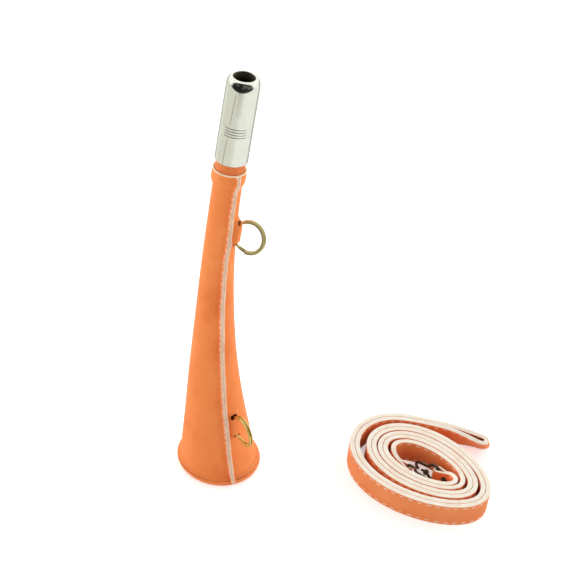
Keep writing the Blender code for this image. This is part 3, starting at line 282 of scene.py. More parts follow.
class Effects:
    """The shader groups that several finishes share, each made once."""

    grain_bend: float = 0.6 * MM
    pebble_edge: float = 0.3
    pores_per_pebble: float = 2.7
    drift_roughness: float = 0.55
    drift_steps: Triple = (0.28, 0.5, 0.74)
    wear_swing: float = 0.9
    wear_steps: Pair = (0.25, 0.85)
    spot_roughness: float = 0.6
    tarnish_steps: Pair = (0.38, 0.68)
    scratches_per_spot: float = 9.0

    def __init__(self) -> None:
        """Make the groups."""
        self.grain = self.make_grain()
        self.drift = self.make_drift()
        self.wear = self.make_wear()
        self.metal = self.make_metal()

    def make_grain(self) -> bpy.types.NodeTree:
        """Make leather grain: pebbles between fine creases, and pores."""
        inputs = {"Vector": VECTOR, "Pebbles per Metre": 1500.0, "Pore Share": 0.35}
        outputs = {"Height": NUMBER, "Crease": NUMBER}
        wiring, given, sink = new_group("leather_grain", "ShaderNodeTree", inputs, outputs)
        place, scale = given["Vector"], given["Pebbles per Metre"]
        wander = wiring.add("ShaderNodeTexNoise", {"Vector": place, "Scale": scale, "Detail": 1.0})
        shift = wiring.vector("SCALE", {0: wander.outputs["Color"], "Scale": self.grain_bend})
        cells = wiring.add(
            "ShaderNodeTexVoronoi", {"Vector": wiring.vector("ADD", {0: place, 1: shift}), "Scale": scale},
            feature="DISTANCE_TO_EDGE",
        )
        pebble = wiring.spread(cells.outputs["Distance"], 0.0, self.pebble_edge)
        pores = wiring.noise(place, wiring.math("MULTIPLY", scale, self.pores_per_pebble), 2.0)
        kept = wiring.math("SUBTRACT", 1.0, given["Pore Share"])
        pitted = wiring.math("MULTIPLY", pores, given["Pore Share"])
        wiring.feed(sink, {
            "Height": wiring.math("ADD", wiring.math("MULTIPLY", pebble, kept), pitted),
            "Crease": wiring.math("SUBTRACT", 1.0, pebble),
        })
        return wiring.tree

    def make_drift(self) -> bpy.types.NodeTree:
        """Make slow changes between three tones, as of dye or tarnish."""
        inputs = {
            "Vector": VECTOR, "Patches per Metre": 40.0,
            "Light": tone("ffffff"), "Middle": tone("808080"), "Dark": tone("000000"),
        }
        wiring, given, sink = new_group("tone_drift", "ShaderNodeTree", inputs, {"Color": COLOUR})
        patches = wiring.noise(given["Vector"], given["Patches per Metre"], 4.0, self.drift_roughness)
        low, middle, high = self.drift_steps
        lower = wiring.blend(wiring.spread(patches, low, middle), given["Dark"], given["Middle"])
        upper = wiring.blend(wiring.spread(patches, middle, high), lower, given["Light"])
        wiring.feed(sink, {"Color": upper})
        return wiring.tree

    def make_wear(self) -> bpy.types.NodeTree:
        """Make a broken mask from a piece's own wear attribute."""
        inputs = {"Vector": VECTOR, "Wear": 0.0, "Spots per Metre": 400.0}
        wiring, given, sink = new_group("broken_wear", "ShaderNodeTree", inputs, {"Mask": NUMBER})
        spots = wiring.noise(given["Vector"], given["Spots per Metre"], 4.0, self.spot_roughness)
        swing = wiring.math("MULTIPLY_ADD", spots, self.wear_swing, -self.wear_swing / 2.0)
        broken = wiring.spread(wiring.math("ADD", given["Wear"], swing), *self.wear_steps)
        wiring.feed(sink, {"Mask": wiring.math("MULTIPLY", broken, given["Wear"], clamp=True)})
        return wiring.tree

    def make_metal(self) -> bpy.types.NodeTree:
        """Make a metal's uneven polish, its tarnish mask and fine scratches."""
        inputs = {"Vector": VECTOR, "Spots per Metre": 300.0, "Polished": 0.15, "Dull": 0.35}
        outputs = {"Roughness": NUMBER, "Tarnish": NUMBER, "Height": NUMBER}
        wiring, given, sink = new_group("metal_surface", "ShaderNodeTree", inputs, outputs)
        scale, polished = given["Spots per Metre"], given["Polished"]
        spots = wiring.noise(given["Vector"], scale, 5.0, self.spot_roughness)
        mask = wiring.spread(spots, *self.tarnish_steps)
        change = wiring.math("MULTIPLY", wiring.math("SUBTRACT", given["Dull"], polished), mask)
        fine = wiring.math("MULTIPLY", scale, self.scratches_per_spot)
        wiring.feed(sink, {
            "Roughness": wiring.math("ADD", polished, change),
            "Tarnish": mask,
            "Height": wiring.noise(given["Vector"], fine, 2.0),
        })
        return wiring.tree

    def drifting(self, wiring: Wiring, place: Any, per_metre: float, tones: Sequence[Colour]) -> Any:
        """Return a colour that drifts between a light, a middle and a dark tone."""
        inputs = {"Vector": place, "Patches per Metre": per_metre}
        return wiring.group(self.drift, inputs | dict(zip(("Light", "Middle", "Dark"), tones)))["Color"]


@dataclass(frozen=True)
class Finish:
    """A finish's name and the material slot that it belongs to."""

    name: str
    slot: Slot

    def surface(self, wiring: Wiring, place: Any, effects: Effects) -> dict[str, Any]:
        """Make the finish's nodes and return what goes into the shader's sockets."""
        raise NotImplementedError

    def material(self, effects: Effects) -> bpy.types.Material:
        """Make the material from the shared effects."""
        material, wiring, place = new_material(self.name)
        wiring.feed(material.node_tree.nodes["Principled BSDF"], self.surface(wiring, place, effects))
        return material


@dataclass(frozen=True)
class LeatherFinish(Finish):
    """Dyed leather with grain, slow changes of tone and worn edges."""

    light: Colour
    middle: Colour
    dark: Colour
    worn: Colour
    # The tint of the painted shade in the crease over the bead and in the longest fold
    shade_and_grime: Colour = tone("8c3612")
    patches_per_metre: float = 45.0
    pebbles_per_metre: float = 1500.0
    grain_depth: float = 0.05 * MM
    grain_strength: float = 0.5
    crease_share: float = 0.22
    worn_share: float = 0.6
    shade_and_grime_share: float = 0.75
    roughness: float = 0.55
    crease_roughness: float = 0.12
    worn_roughness: float = -0.08
    specular: float = 0.3
    sheen: float = 0.15
    sheen_roughness: float = 0.38
    sheen_tint: Colour = tone("ffdc9a")

    def surface(self, wiring: Wiring, place: Any, effects: Effects) -> dict[str, Any]:
        """Make the finish's nodes and return what goes into the shader's sockets."""
        dyed = effects.drifting(wiring, place, self.patches_per_metre, (self.light, self.middle, self.dark))
        grain = wiring.group(effects.grain, {"Vector": place, "Pebbles per Metre": self.pebbles_per_metre})
        wear = wiring.group(effects.wear, {"Vector": place, "Wear": wiring.attribute("wear")})["Mask"]
        # Painted shade, from the piece's shade_and_grime attribute, darkens the base colour
        shade_and_grime = wiring.attribute("shade_and_grime")
        creased = wiring.blend(wiring.math("MULTIPLY", grain["Crease"], self.crease_share), dyed, self.dark)
        worn = wiring.blend(wiring.math("MULTIPLY", wear, self.worn_share), creased, self.worn)
        rough = wiring.math("MULTIPLY_ADD", grain["Crease"], self.crease_roughness, self.roughness)
        return {
            "Base Color": wiring.blend(wiring.math("MULTIPLY", shade_and_grime, self.shade_and_grime_share), worn, self.shade_and_grime),
            "Roughness": wiring.math("MULTIPLY_ADD", wear, self.worn_roughness, rough),
            "Normal": wiring.bump(grain["Height"], self.grain_strength, self.grain_depth),
            "Specular IOR Level": self.specular,
            "Sheen Weight": self.sheen,
            "Sheen Roughness": self.sheen_roughness,
            "Sheen Tint": self.sheen_tint,
        }


@dataclass(frozen=True)
class CutEdgeFinish(Finish):
    """The undyed, fibrous cut edge of leather."""

    pale: Colour
    middle: Colour
    deep: Colour
    # The tint of the painted shade in the groove along the top of the seam
    shade_and_grime: Colour = tone("7c5a40")
    patches_per_metre: float = 180.0
    fibres_per_metre: float = 2600.0
    fibre_depth: float = 0.06 * MM
    fibre_detail: Pair = (4.0, 0.7)
    fibre_steps: Pair = (0.3, 0.7)
    fibre_strength: float = 0.6
    shade_and_grime_share: float = 0.85
    roughness: Pair = (0.75, 0.92)
    specular: float = 0.2

    def surface(self, wiring: Wiring, place: Any, effects: Effects) -> dict[str, Any]:
        """Make the finish's nodes and return what goes into the shader's sockets."""
        tones = (self.pale, self.middle, self.deep)
        hide = effects.drifting(wiring, place, self.patches_per_metre, tones)
        fibres = wiring.noise(place, self.fibres_per_metre, *self.fibre_detail)
        # Painted shade in the seam's groove
        shade_and_grime = wiring.math("MULTIPLY", wiring.attribute("shade_and_grime"), self.shade_and_grime_share)
        return {
            "Base Color": wiring.blend(shade_and_grime, hide, self.shade_and_grime),
            "Roughness": wiring.spread(fibres, *self.fibre_steps, self.roughness),
            "Normal": wiring.bump(fibres, self.fibre_strength, self.fibre_depth),
            "Specular IOR Level": self.specular,
        }


@dataclass(frozen=True)
class ThreadFinish(Finish):
    """Twisted sewing thread."""

    pale: Colour
    deep: Colour
    patches_per_metre: float = 300.0
    plies_per_metre: float = 2600.0
    # One unit of a Wave Texture's scale gives about six bands
    plies_per_unit: float = 6.0
    ply_distortion: float = 2.5
    ply_shade: float = 0.35
    ply_depth: float = 0.05 * MM
    ply_strength: float = 0.5
    roughness: float = 0.7
    specular: float = 0.25

    def surface(self, wiring: Wiring, place: Any, effects: Effects) -> dict[str, Any]:
        """Make the finish's nodes and return what goes into the shader's sockets."""
        dyed = effects.drifting(wiring, place, self.patches_per_metre, (self.pale, self.pale, self.deep))
        bands = {
            "Vector": place, "Scale": self.plies_per_metre / self.plies_per_unit,
            "Distortion": self.ply_distortion, "Detail": 1.0,
        }
        plies = wiring.add("ShaderNodeTexWave", bands, bands_direction="DIAGONAL").outputs["Fac"]
        return {
            "Base Color": wiring.blend(wiring.math("MULTIPLY", plies, self.ply_shade), dyed, self.deep),
            "Normal": wiring.bump(plies, self.ply_strength, self.ply_depth),
            "Roughness": self.roughness,
            "Specular IOR Level": self.specular,
        }


@dataclass(frozen=True)
class MetalFinish(Finish):
    """A polished, plated or antiqued metal with tarnish spots, painted shade in its grooves and gaps, and grime
    in its joint lines.
    """

    bright: Colour
    middle: Colour
    # The dark tone of tarnish spots, of the painted shade in grooves and gaps, and of grime in joint lines
    tarnish_and_shade: Colour
    polished: float = 0.12
    dull: float = 0.28
    spots_per_metre: float = 260.0
    spots_per_patch: float = 3.0
    tarnish: float = 0.35
    shade_and_grime_share: float = 0.92
    scratch_depth: float = 0.004 * MM
    scratch_strength: float = 0.3

    def surface(self, wiring: Wiring, place: Any, effects: Effects) -> dict[str, Any]:
        """Make the finish's nodes and return what goes into the shader's sockets."""
        tones = (self.bright, self.bright, self.middle)
        clean = effects.drifting(wiring, place, self.spots_per_metre / self.spots_per_patch, tones)
        metal = wiring.group(effects.metal, {
            "Vector": place, "Spots per Metre": self.spots_per_metre,
            "Polished": self.polished, "Dull": self.dull,
        })
        # The shade_and_grime attribute: painted shade in grooves and gaps, grime in joint lines
        shade_and_grime = wiring.math("MULTIPLY", wiring.attribute("shade_and_grime"), self.shade_and_grime_share)
        spots = wiring.math("MULTIPLY", metal["Tarnish"], self.tarnish)
        mask = wiring.math("MAXIMUM", spots, shade_and_grime, clamp=True)
        return {
            "Base Color": wiring.blend(mask, clean, self.tarnish_and_shade),
            "Roughness": metal["Roughness"],
            "Normal": wiring.bump(metal["Height"], self.scratch_strength, self.scratch_depth),
            "Metallic": 1.0,
        }


@dataclass(frozen=True)
class CorkFinish(Finish):
    """Sheet cork: warm granules with dark pits."""

    light: Colour
    dark: Colour
    granules_per_metre: float = 900.0
    pit_share: float = 0.5
    pit_steps: Pair = (0.2, 0.95)
    pit_depth: float = 0.2 * MM
    pit_strength: float = 0.7
    roughness: float = 0.85

    def surface(self, wiring: Wiring, place: Any, effects: Effects) -> dict[str, Any]:
        """Make the finish's nodes and return what goes into the shader's sockets."""
        grain = wiring.group(effects.grain, {
            "Vector": place, "Pebbles per Metre": self.granules_per_metre, "Pore Share": self.pit_share,
        })
        return {
            "Base Color": wiring.blend(wiring.spread(grain["Crease"], *self.pit_steps), self.light, self.dark),
            "Normal": wiring.bump(grain["Height"], self.pit_strength, self.pit_depth),
            "Roughness": self.roughness,
        }


COVER_LEATHER = LeatherFinish(
    "cover_leather", Slot.ORANGE_LEATHER, tone("fe9e58"), tone("fb8e49"), tone("f27f3c"), tone("ffa868")
)
STRIP_LEATHER = LeatherFinish(
    "strip_leather", Slot.DARK_LEATHER, tone("f28f50"), tone("ea8042"), tone("da6e35"), tone("f6a86c"),
    pebbles_per_metre=1700.0,
)
STRAP_LEATHER = LeatherFinish(
    "strap_leather", Slot.ORANGE_LEATHER, tone("fb9d60"), tone("f68f52"), tone("ec8045"), tone("fcb682"),
    pebbles_per_metre=1400.0, grain_depth=0.07 * MM, roughness=0.52,
)
# The seam's cut edge is darker than the top edge's: partly grime, partly painted shade, as it faces the dim
# front
SEAM_EDGE = CutEdgeFinish("seam_edge", Slot.ORANGE_LEATHER, tone("f8dcc2"), tone("f1ceb0"), tone("e4b894"))
TOP_EDGE = CutEdgeFinish("top_edge", Slot.ORANGE_LEATHER, tone("fff6dc"), tone("fdecc8"), tone("f4dab0"))
STRAP_EDGE = CutEdgeFinish("strap_edge", Slot.ORANGE_LEATHER, tone("fffbee"), tone("fff6e4"), tone("fbecd6"))
SEAM_THREAD = ThreadFinish("seam_thread", Slot.ORANGE_LEATHER, tone("fbeadd"), tone("e0baa0"))
STRAP_THREAD = ThreadFinish("strap_thread", Slot.ORANGE_LEATHER, tone("fff6ea"), tone("ecc8a6"))
NICKEL = MetalFinish(
    "mouthpiece_nickel", Slot.NICKEL, tone("e9ebdf"), tone("e2e5d7"), tone("5c5c4e"),
    polished=0.07, dull=0.14, spots_per_metre=160.0, tarnish=0.06, scratch_depth=0.002 * MM,
)
# The bore's nickel is duller, and its darker colour is painted shade inside the hole
SHADED_BORE = MetalFinish(
    "mouthpiece_bore_shade", Slot.NICKEL, tone("a39d86"), tone("8f8973"), tone("5c5644"),
    polished=0.6, dull=0.8, tarnish=0.5,
)
TUBE_BRASS = MetalFinish(
    "tube_brass", Slot.BRASS, tone("dcb86c"), tone("c9a057"), tone("6e5228"), polished=0.16, dull=0.34
)
RING_BRASS = MetalFinish(
    "ring_brass", Slot.BRASS, tone("fff2b2"), tone("f0e096"), tone("9c8a50"),
    polished=0.3, dull=0.46, spots_per_metre=420.0, tarnish=0.14,
)
GOLD_BRASS = MetalFinish(
    "gold_brass", Slot.BRASS, tone("fff092"), tone("f0d86e"), tone("8a7434"),
    polished=0.24, dull=0.4, spots_per_metre=420.0, tarnish=0.2,
)
HOOK_METAL = MetalFinish(
    "hook_metal", Slot.ANTIQUE_BRASS, tone("6f6350"), tone("564c3b"), tone("241f19"),
    polished=0.26, dull=0.46, spots_per_metre=600.0, tarnish=0.6,
)
SHEET_CORK = CorkFinish("sheet_cork", Slot.CORK, tone("c79a66"), tone("6e4828"))


class Workshop:
    """Turns meshes into finished pieces and hands them to the frame."""

    def __init__(self) -> None:
        """Make the shared effects and an empty store of materials."""
        self.effects = Effects()
        self.made: dict[str, bpy.types.Material] = {}

    def material(self, finish: Finish) -> bpy.types.Material:
        """Return a finish's material, made the first time it is asked for."""
        if finish.name not in self.made:
            self.made[finish.name] = finish.material(self.effects)
        return self.made[finish.name]

    def piece(
        self, name: str, mesh: bpy.types.Mesh, finishes: Sequence[Finish], body: Body,
        replaces: Sequence[str] = (),
    ) -> None:
        """Make a piece of a mesh.

        Args:
            name: The piece's name.
            mesh: Its mesh, in place.
            finishes: Its finishes, in the order of the mesh's material numbers.
            body: The body that it rides on.
            replaces: The solids that it stands for.
        """
        for finish in finishes[len(mesh.materials):]:
            mesh.materials.append(self.material(finish))
        item = put(name, mesh)
        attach(item, body.value)
        if replaces:
            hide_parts(*replaces)
        LOG.info("%s rides on %s, %d faces", name, body.value, len(mesh.polygons))

    def dress(self, node: str, finish: Finish) -> None:
        """Give a solid that is shown as it is a finish."""
        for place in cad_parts[node].material_slots:
            place.material = self.material(finish)
        LOG.info("%s dressed in %s", node, finish.name)


def write_attribute(mesh: bpy.types.Mesh, name: str, values: np.ndarray) -> None:
    """Write one number for each vertex."""
    layer = mesh.attributes.new(name, "FLOAT", "POINT")
    layer.data.foreach_set("value", np.ascontiguousarray(values, dtype=np.float32).ravel())


def settle(mesh: bpy.types.Mesh, sharp: float) -> bpy.types.Mesh:
    """Turn a closed mesh's faces outwards and shade it.

    Args:
        mesh: The mesh, which is changed.
        sharp: The angle between faces past which an edge stays sharp.

    Returns:
        The same mesh.
    """
    work = bmesh.new()
    work.from_mesh(mesh)
    bmesh.ops.recalc_face_normals(work, faces=work.faces)
    work.to_mesh(mesh)
    work.free()
    mesh.shade_smooth()
    mesh.set_sharp_from_angle(angle=sharp)
    return mesh


def skin(
    name: str, rows: np.ndarray, numbers: np.ndarray | None = None, loops: bool = True, sharp: float = SHARP,
    values: dict[str, np.ndarray] | None = None,
) -> bpy.types.Mesh:
    """Skin rows of points, each row closed on itself.

    Args:
        name: The mesh's name.
        rows: Points by row and column.
        numbers: Material number for each face by row and column, or one for all.
        loops: True joins the last row to the first, False caps both ends.
        sharp: The angle between faces past which an edge stays sharp.
        values: Attribute name to numbers by row and column.

    Returns:
        The closed mesh.
    """
    count, columns = rows.shape[:2]
    last = count if loops else count - 1
    first = np.arange(last)[:, None] * columns
    second = (np.arange(last)[:, None] + 1) % count * columns
    here = np.arange(columns)[None, :]
    onward = (here + 1) % columns
    quads = np.stack([first + here, first + onward, second + onward, second + here], axis=-1).reshape(-1, 4)
    faces = quads.tolist()
    if not loops:
        faces += [list(range(columns)), list(range((count - 1) * columns, count * columns))]
    mesh = bpy.data.meshes.new(name)
    mesh.from_pydata(rows.reshape(-1, 3).tolist(), [], faces)
    if numbers is not None:
        kept = np.zeros(len(faces), dtype=np.int32)
        kept[:last * columns] = np.broadcast_to(numbers, (last, columns)).ravel()
        mesh.polygons.foreach_set("material_index", kept)
    for key, table in (values or {}).items():
        write_attribute(mesh, key, np.broadcast_to(table, (count, columns)))
    return settle(mesh, sharp)


@dataclass(frozen=True)
class CentreLine:
    """The horn's curved centre line and the slices across it."""

    side_lean: Pair = (-9.5 * DEG, 2.5 * DEG)
    back_lean: Pair = (1.3 * DEG, 4.9 * DEG)
    bend_length: float = 189.0 * MM
    level_rim_blend: float = 40.0 * MM
    reach: float = 248.9 * MM
    samples: int = 500
    along: np.ndarray = field(init=False, repr=False, compare=False)
    tangent: np.ndarray = field(init=False, repr=False, compare=False)
    centre: np.ndarray = field(init=False, repr=False, compare=False)

    def __post_init__(self) -> None:
        """Sum the leans into the line's points."""
        along = np.linspace(0.0, self.reach, self.samples)
        bend = np.minimum(along / self.bend_length, 1.0)
        side, back = (low + (high - low) * bend for low, high in (self.side_lean, self.back_lean))
        tangent = unit(np.stack([np.tan(side), np.tan(back), np.ones_like(bend)], axis=1))
        middles = (tangent[1:] + tangent[:-1]) * (along[1] - along[0]) / 2.0
        centre = np.concatenate([np.zeros((1, 3)), np.cumsum(middles, axis=0)])
        for name, value in (("along", along), ("tangent", tangent), ("centre", centre)):
            object.__setattr__(self, name, value)

    def read(self, table: np.ndarray, at: np.ndarray) -> np.ndarray:
        """Return a table's rows at distances along the line."""
        return np.stack([np.interp(at, self.along, table[:, k]) for k in range(3)], axis=-1)

    def middle(self, at: Any) -> np.ndarray:
        """Return the line's points at distances from the rim, from the bell's centre."""
        at = np.asarray(at, dtype=float)
        return self.read(self.centre, np.maximum(at, 0.0)) + self.tangent[0] * np.minimum(at, 0.0)[..., None]

    def across(self, at: Any) -> Row:
        """Return the slices' directions to the right and to the back."""
        at = np.asarray(at, dtype=float)
        share = smooth_step(at / self.level_rim_blend)[..., None]
        normal = unit(UP * (1.0 - share) + unit(self.read(self.tangent, at)) * share)
        right = unit(RIGHT - normal * normal[..., :1])
        return right, np.cross(normal, right)

    def points(self, at: Any, radius: Any, angle: Any) -> np.ndarray:
        """Return world points at distances, radii and angles from the front."""
        at, radius, angle = np.broadcast_arrays(*(np.asarray(v, dtype=float) for v in (at, radius, angle)))
        right, back = self.across(at)
        outward = right * np.sin(angle)[..., None] - back * np.cos(angle)[..., None]
        return self.middle(at) + outward * radius[..., None] + BELL_CENTRE


LINE = CentreLine()


@dataclass(frozen=True)
class HornSizes:
    """The sizes that the horn's pieces share."""

    clearance: float = 0.3 * MM
    tube_wall: float = 0.5 * MM
    neck_radius: float = 6.1 * MM
    bell_radius: float = 18.9 * MM
    flare_power: float = 2.15
    straight_at_rim: float = 9.0 * MM
    taper_end: float = 190.0 * MM
    rim_wire_radius: float = 0.8 * MM
    cover_thickness: float = 0.95 * MM
    bead_flat_depth: float = 0.12 * MM
    seam_angles: Pair = (27.0 * DEG, 34.0 * DEG)
    seam_drift: Pair = (125.0 * MM, 160.0 * MM)
    strip_thickness: float = 1.0 * MM
    strip_foot: float = 184.3 * MM
    strip_top: float = 194.2 * MM
    collar_rise: float = 4.5 * MM
    shell_base: float = 194.5 * MM

    @property
    def bead_inner(self) -> float:
        """The turned leather's inner radius round the rim wire."""
        return self.rim_wire_radius + self.tube_wall + 2.0 * self.clearance

    @property
    def bead_outer(self) -> float:
        """The turned leather's outer radius round the rim wire."""
        return self.bead_inner + self.cover_thickness

    @property
    def rim_radius(self) -> float:
        """The rim wire's distance from the bell's centre."""
        return self.bell_radius + self.rim_wire_radius + self.clearance

    @property
    def rim_height(self) -> float:
        """The rim wire's height over the floor."""
        return self.bead_outer - self.bead_flat_depth

    @property
    def cover_offset(self) -> float:
        """The cover's outer face over the tube."""
        return self.clearance + self.cover_thickness

    @property
    def collar_foot(self) -> float:
        """Where the cover begins to rise over the neck strip."""
        return self.strip_foot - self.clearance - self.collar_rise

    def tube_radius(self, at: Any) -> np.ndarray:
        """Return the brass tube's outer radius at distances from the rim."""
        span = self.taper_end - self.straight_at_rim
        share = (self.taper_end - np.clip(at, self.straight_at_rim, self.taper_end)) / span
        return self.neck_radius + (self.bell_radius - self.neck_radius) * share ** self.flare_power

    def inner_radius(self, at: Any) -> np.ndarray:
        """Return the cover's inner radius at distances from the rim."""
        lift = smooth_step((np.asarray(at) - self.collar_foot) / self.collar_rise)
        return self.tube_radius(at) + self.clearance + (self.strip_thickness + self.clearance) * lift

    def outer_radius(self, at: Any) -> np.ndarray:
        """Return the cover's outer radius at distances from the rim."""
        return self.inner_radius(at) + self.cover_thickness

    def seam_angle(self, at: Any) -> np.ndarray:
        """Return the seam's angle from the front at distances from the rim."""
        low, high = self.seam_drift
        share = smooth_step((np.asarray(at) - low) / (high - low))
        return self.seam_angles[0] + (self.seam_angles[1] - self.seam_angles[0]) * share

    def rim_arc(self, radius: float, angles: np.ndarray) -> Row:
        """Return the heights and radii of points round the rim wire."""
        heights = np.maximum(self.rim_height + radius * np.sin(angles), 0.0)
        return heights, self.rim_radius + radius * np.cos(angles)


HORN = HornSizes()


@dataclass(frozen=True)
class RingSeat:
    """Where a split ring hangs: a frame on the tube, turned by the staple's lean."""

    at: float
    lean: float
    from_seam: float = 5.0 * MM
    axis_height: float = 1.208 * MM
    lug_top: float = 2.766 * MM
    bulge_lengths: Pair = (7.2 * MM, 19.0 * MM)
    bulge_widths: Pair = (2.6 * MM, 8.4 * MM)
    angle: float = field(init=False)
    foot: np.ndarray = field(init=False, repr=False, compare=False)
    upward: np.ndarray = field(init=False, repr=False, compare=False)
    sideways: np.ndarray = field(init=False, repr=False, compare=False)
    outward: np.ndarray = field(init=False, repr=False, compare=False)

    def __post_init__(self) -> None:
        """Work out the frame from the place on the tube."""
        radius = float(HORN.tube_radius(self.at))
        angle = float(HORN.seam_angle(self.at)) + self.from_seam / (radius + HORN.cover_offset)
        foot = LINE.points(self.at, radius, angle)
        ahead, behind = (LINE.points(s, HORN.tube_radius(s), angle) for s in (self.at + MM, self.at - MM))
        upward = unit(ahead - behind)
        sideways = LINE.points(self.at, radius, angle + SMALL_TURN) - foot
        sideways = unit(sideways - upward * sideways.dot(upward))
        outward = np.cross(sideways, upward)
        turn = np.array(Matrix.Rotation(-self.lean, 3, Vector(outward)))
        found = {"angle": angle, "foot": foot, "outward": outward}
        found |= {"upward": turn @ upward, "sideways": turn @ sideways}
        for name, value in found.items():
            object.__setattr__(self, name, value)

    def place(self, up: Any, side: Any, out: Any) -> np.ndarray:
        """Return world points at distances up the staple, sideways and off the tube."""
        up, side, out = (np.asarray(v, dtype=float)[..., None] for v in (up, side, out))
        return self.foot + self.upward * up + self.sideways * side + self.outward * out

    def bulge(self, at: np.ndarray, angle: np.ndarray) -> np.ndarray:
        """Return how far the cover stands up, to clear the staple and ring."""
        up = at - self.at
        side = (angle - self.angle) * (HORN.tube_radius(at) + HORN.cover_offset)
        turned_up = up * math.cos(self.lean) + side * math.sin(self.lean)
        turned_side = side * math.cos(self.lean) - up * math.sin(self.lean)
        lift = self.lug_top
        for distance, (flat, whole) in ((turned_up, self.bulge_lengths), (turned_side, self.bulge_widths)):
            lift = lift * (1.0 - smooth_step((np.abs(distance) - flat / 2.0) / ((whole - flat) / 2.0)))
        return lift


UPPER_SEAT = RingSeat(154.2 * MM, 14.0 * DEG)
LOWER_SEAT = RingSeat(35.4 * MM, 0.0)
SEATS = (UPPER_SEAT, LOWER_SEAT)


@dataclass(frozen=True)
class StitchRows:
    """Stitches laid along paths by Geometry Nodes."""

    pitch: float
    length: float
    width: float
    height: float
    slant: float = 0.0
    seed: int = 7
    unevenness: float = 0.08
    bead_sides: int = 6

    def tree(self) -> bpy.types.NodeTree:
        """Build the tree: paths to curves, one stitch at each step, realised and dressed."""
        inputs = {
            "Geometry": "NodeSocketGeometry", "Pitch": self.pitch, "Length": self.length, "Width": self.width,
            "Height": self.height, "Slant": self.slant, "Unevenness": self.unevenness,
            "Thread": "NodeSocketMaterial",
        }
        outputs = {"Geometry": "NodeSocketGeometry"}
        wiring, given, sink = new_group("stitch_rows", "GeometryNodeTree", inputs, outputs)

        def step(kind: str, feeds: dict[Any, Any], **settings: Any) -> Any:
            """Add a node and return its first output."""
            return wiring.add(kind, feeds, **settings).outputs[0]

        curve = step("GeometryNodeMeshToCurve", {"Mesh": given["Geometry"]})
        points = step("GeometryNodeResampleCurve", {"Curve": curve, "Length": given["Pitch"]}, mode="LENGTH")
        along = step("GeometryNodeInputTangent", {})
        outward = step("GeometryNodeInputNamedAttribute", {"Name": "out"}, data_type="FLOAT_VECTOR")
        lengthways = step("FunctionNodeAlignRotationToVector", {"Vector": along}, axis="Y")
        upright = step(
            "FunctionNodeAlignRotationToVector", {"Rotation": lengthways, "Vector": outward},
            axis="Z", pivot_axis="Y",
        )
        turn = step("ShaderNodeCombineXYZ", {"Z": given["Slant"]})
        slanted = step("FunctionNodeEulerToRotation", {"Euler": turn})
        rotation = step(
            "FunctionNodeRotateRotation", {"Rotation": upright, "Rotate By": slanted}, rotation_space="LOCAL"
        )
        size = step("ShaderNodeCombineXYZ", {"X": given["Width"], "Y": given["Length"], "Z": given["Height"]})
        chance = wiring.add("FunctionNodeRandomValue", {"Seed": self.seed}, data_type="FLOAT").outputs[1]
        swing = wiring.math("MULTIPLY", wiring.math("SUBTRACT", chance, 0.5), given["Unevenness"])
        scale = wiring.vector("SCALE", {0: size, "Scale": wiring.math("ADD", 1.0, swing)})
        sides = {"Segments": self.bead_sides, "Rings": self.bead_sides, "Radius": 0.5}
        bead = step("GeometryNodeMeshUVSphere", sides)
        laid = step("GeometryNodeInstanceOnPoints", {
            "Points": points, "Instance": bead, "Rotation": rotation, "Scale": scale,
        })
        plain = step("GeometryNodeRealizeInstances", {"Geometry": laid})
        soft = step("GeometryNodeSetShadeSmooth", {"Geometry": plain})
        dressed = step("GeometryNodeSetMaterial", {"Geometry": soft, "Material": given["Thread"]})
        wiring.feed(sink, {"Geometry": dressed})
        return wiring.tree

    def lay(self, name: str, paths: Sequence[Row], thread: bpy.types.Material) -> bpy.types.Mesh:
        """Lay stitches along paths.

        Args:
            name: The mesh's name.
            paths: Points and outward directions, one pair for each row.
            thread: The thread's material.

        Returns:
            One plain mesh with every stitch.
        """
        guide = bpy.data.meshes.new(f"{name}_guide")
        edges, start = [], 0
        for points, _ in paths:
            edges += [(start + k, start + k + 1) for k in range(len(points) - 1)]
            start += len(points)
        guide.from_pydata(np.concatenate([p for p, _ in paths]).tolist(), edges, [])
        layer = guide.attributes.new("out", "FLOAT_VECTOR", "POINT")
        layer.data.foreach_set("vector", np.concatenate([o for _, o in paths]).astype(np.float32).ravel())
        holder = put(f"{name}_guide", guide)
        step = holder.modifiers.new("stitches", "NODES")
        step.node_group = self.tree()
        for socket in step.node_group.interface.items_tree:
            if socket.in_out == "INPUT" and socket.name == "Thread":
                step[socket.identifier] = thread
        mesh = shaped(holder)
        mesh.name = name
        bpy.data.meshes.remove(guide)
        return mesh


@dataclass(frozen=True)
class CoverRow:
    """One row of points of the cover's wall, once round the horn."""

    at: float
    radius: float
    lift_along: float = 0.0
    lift_out: float = 1.0
    seam: float = 0.0
    seats: float = 0.0
    cut: float = 0.0
    wear: float = 0.0


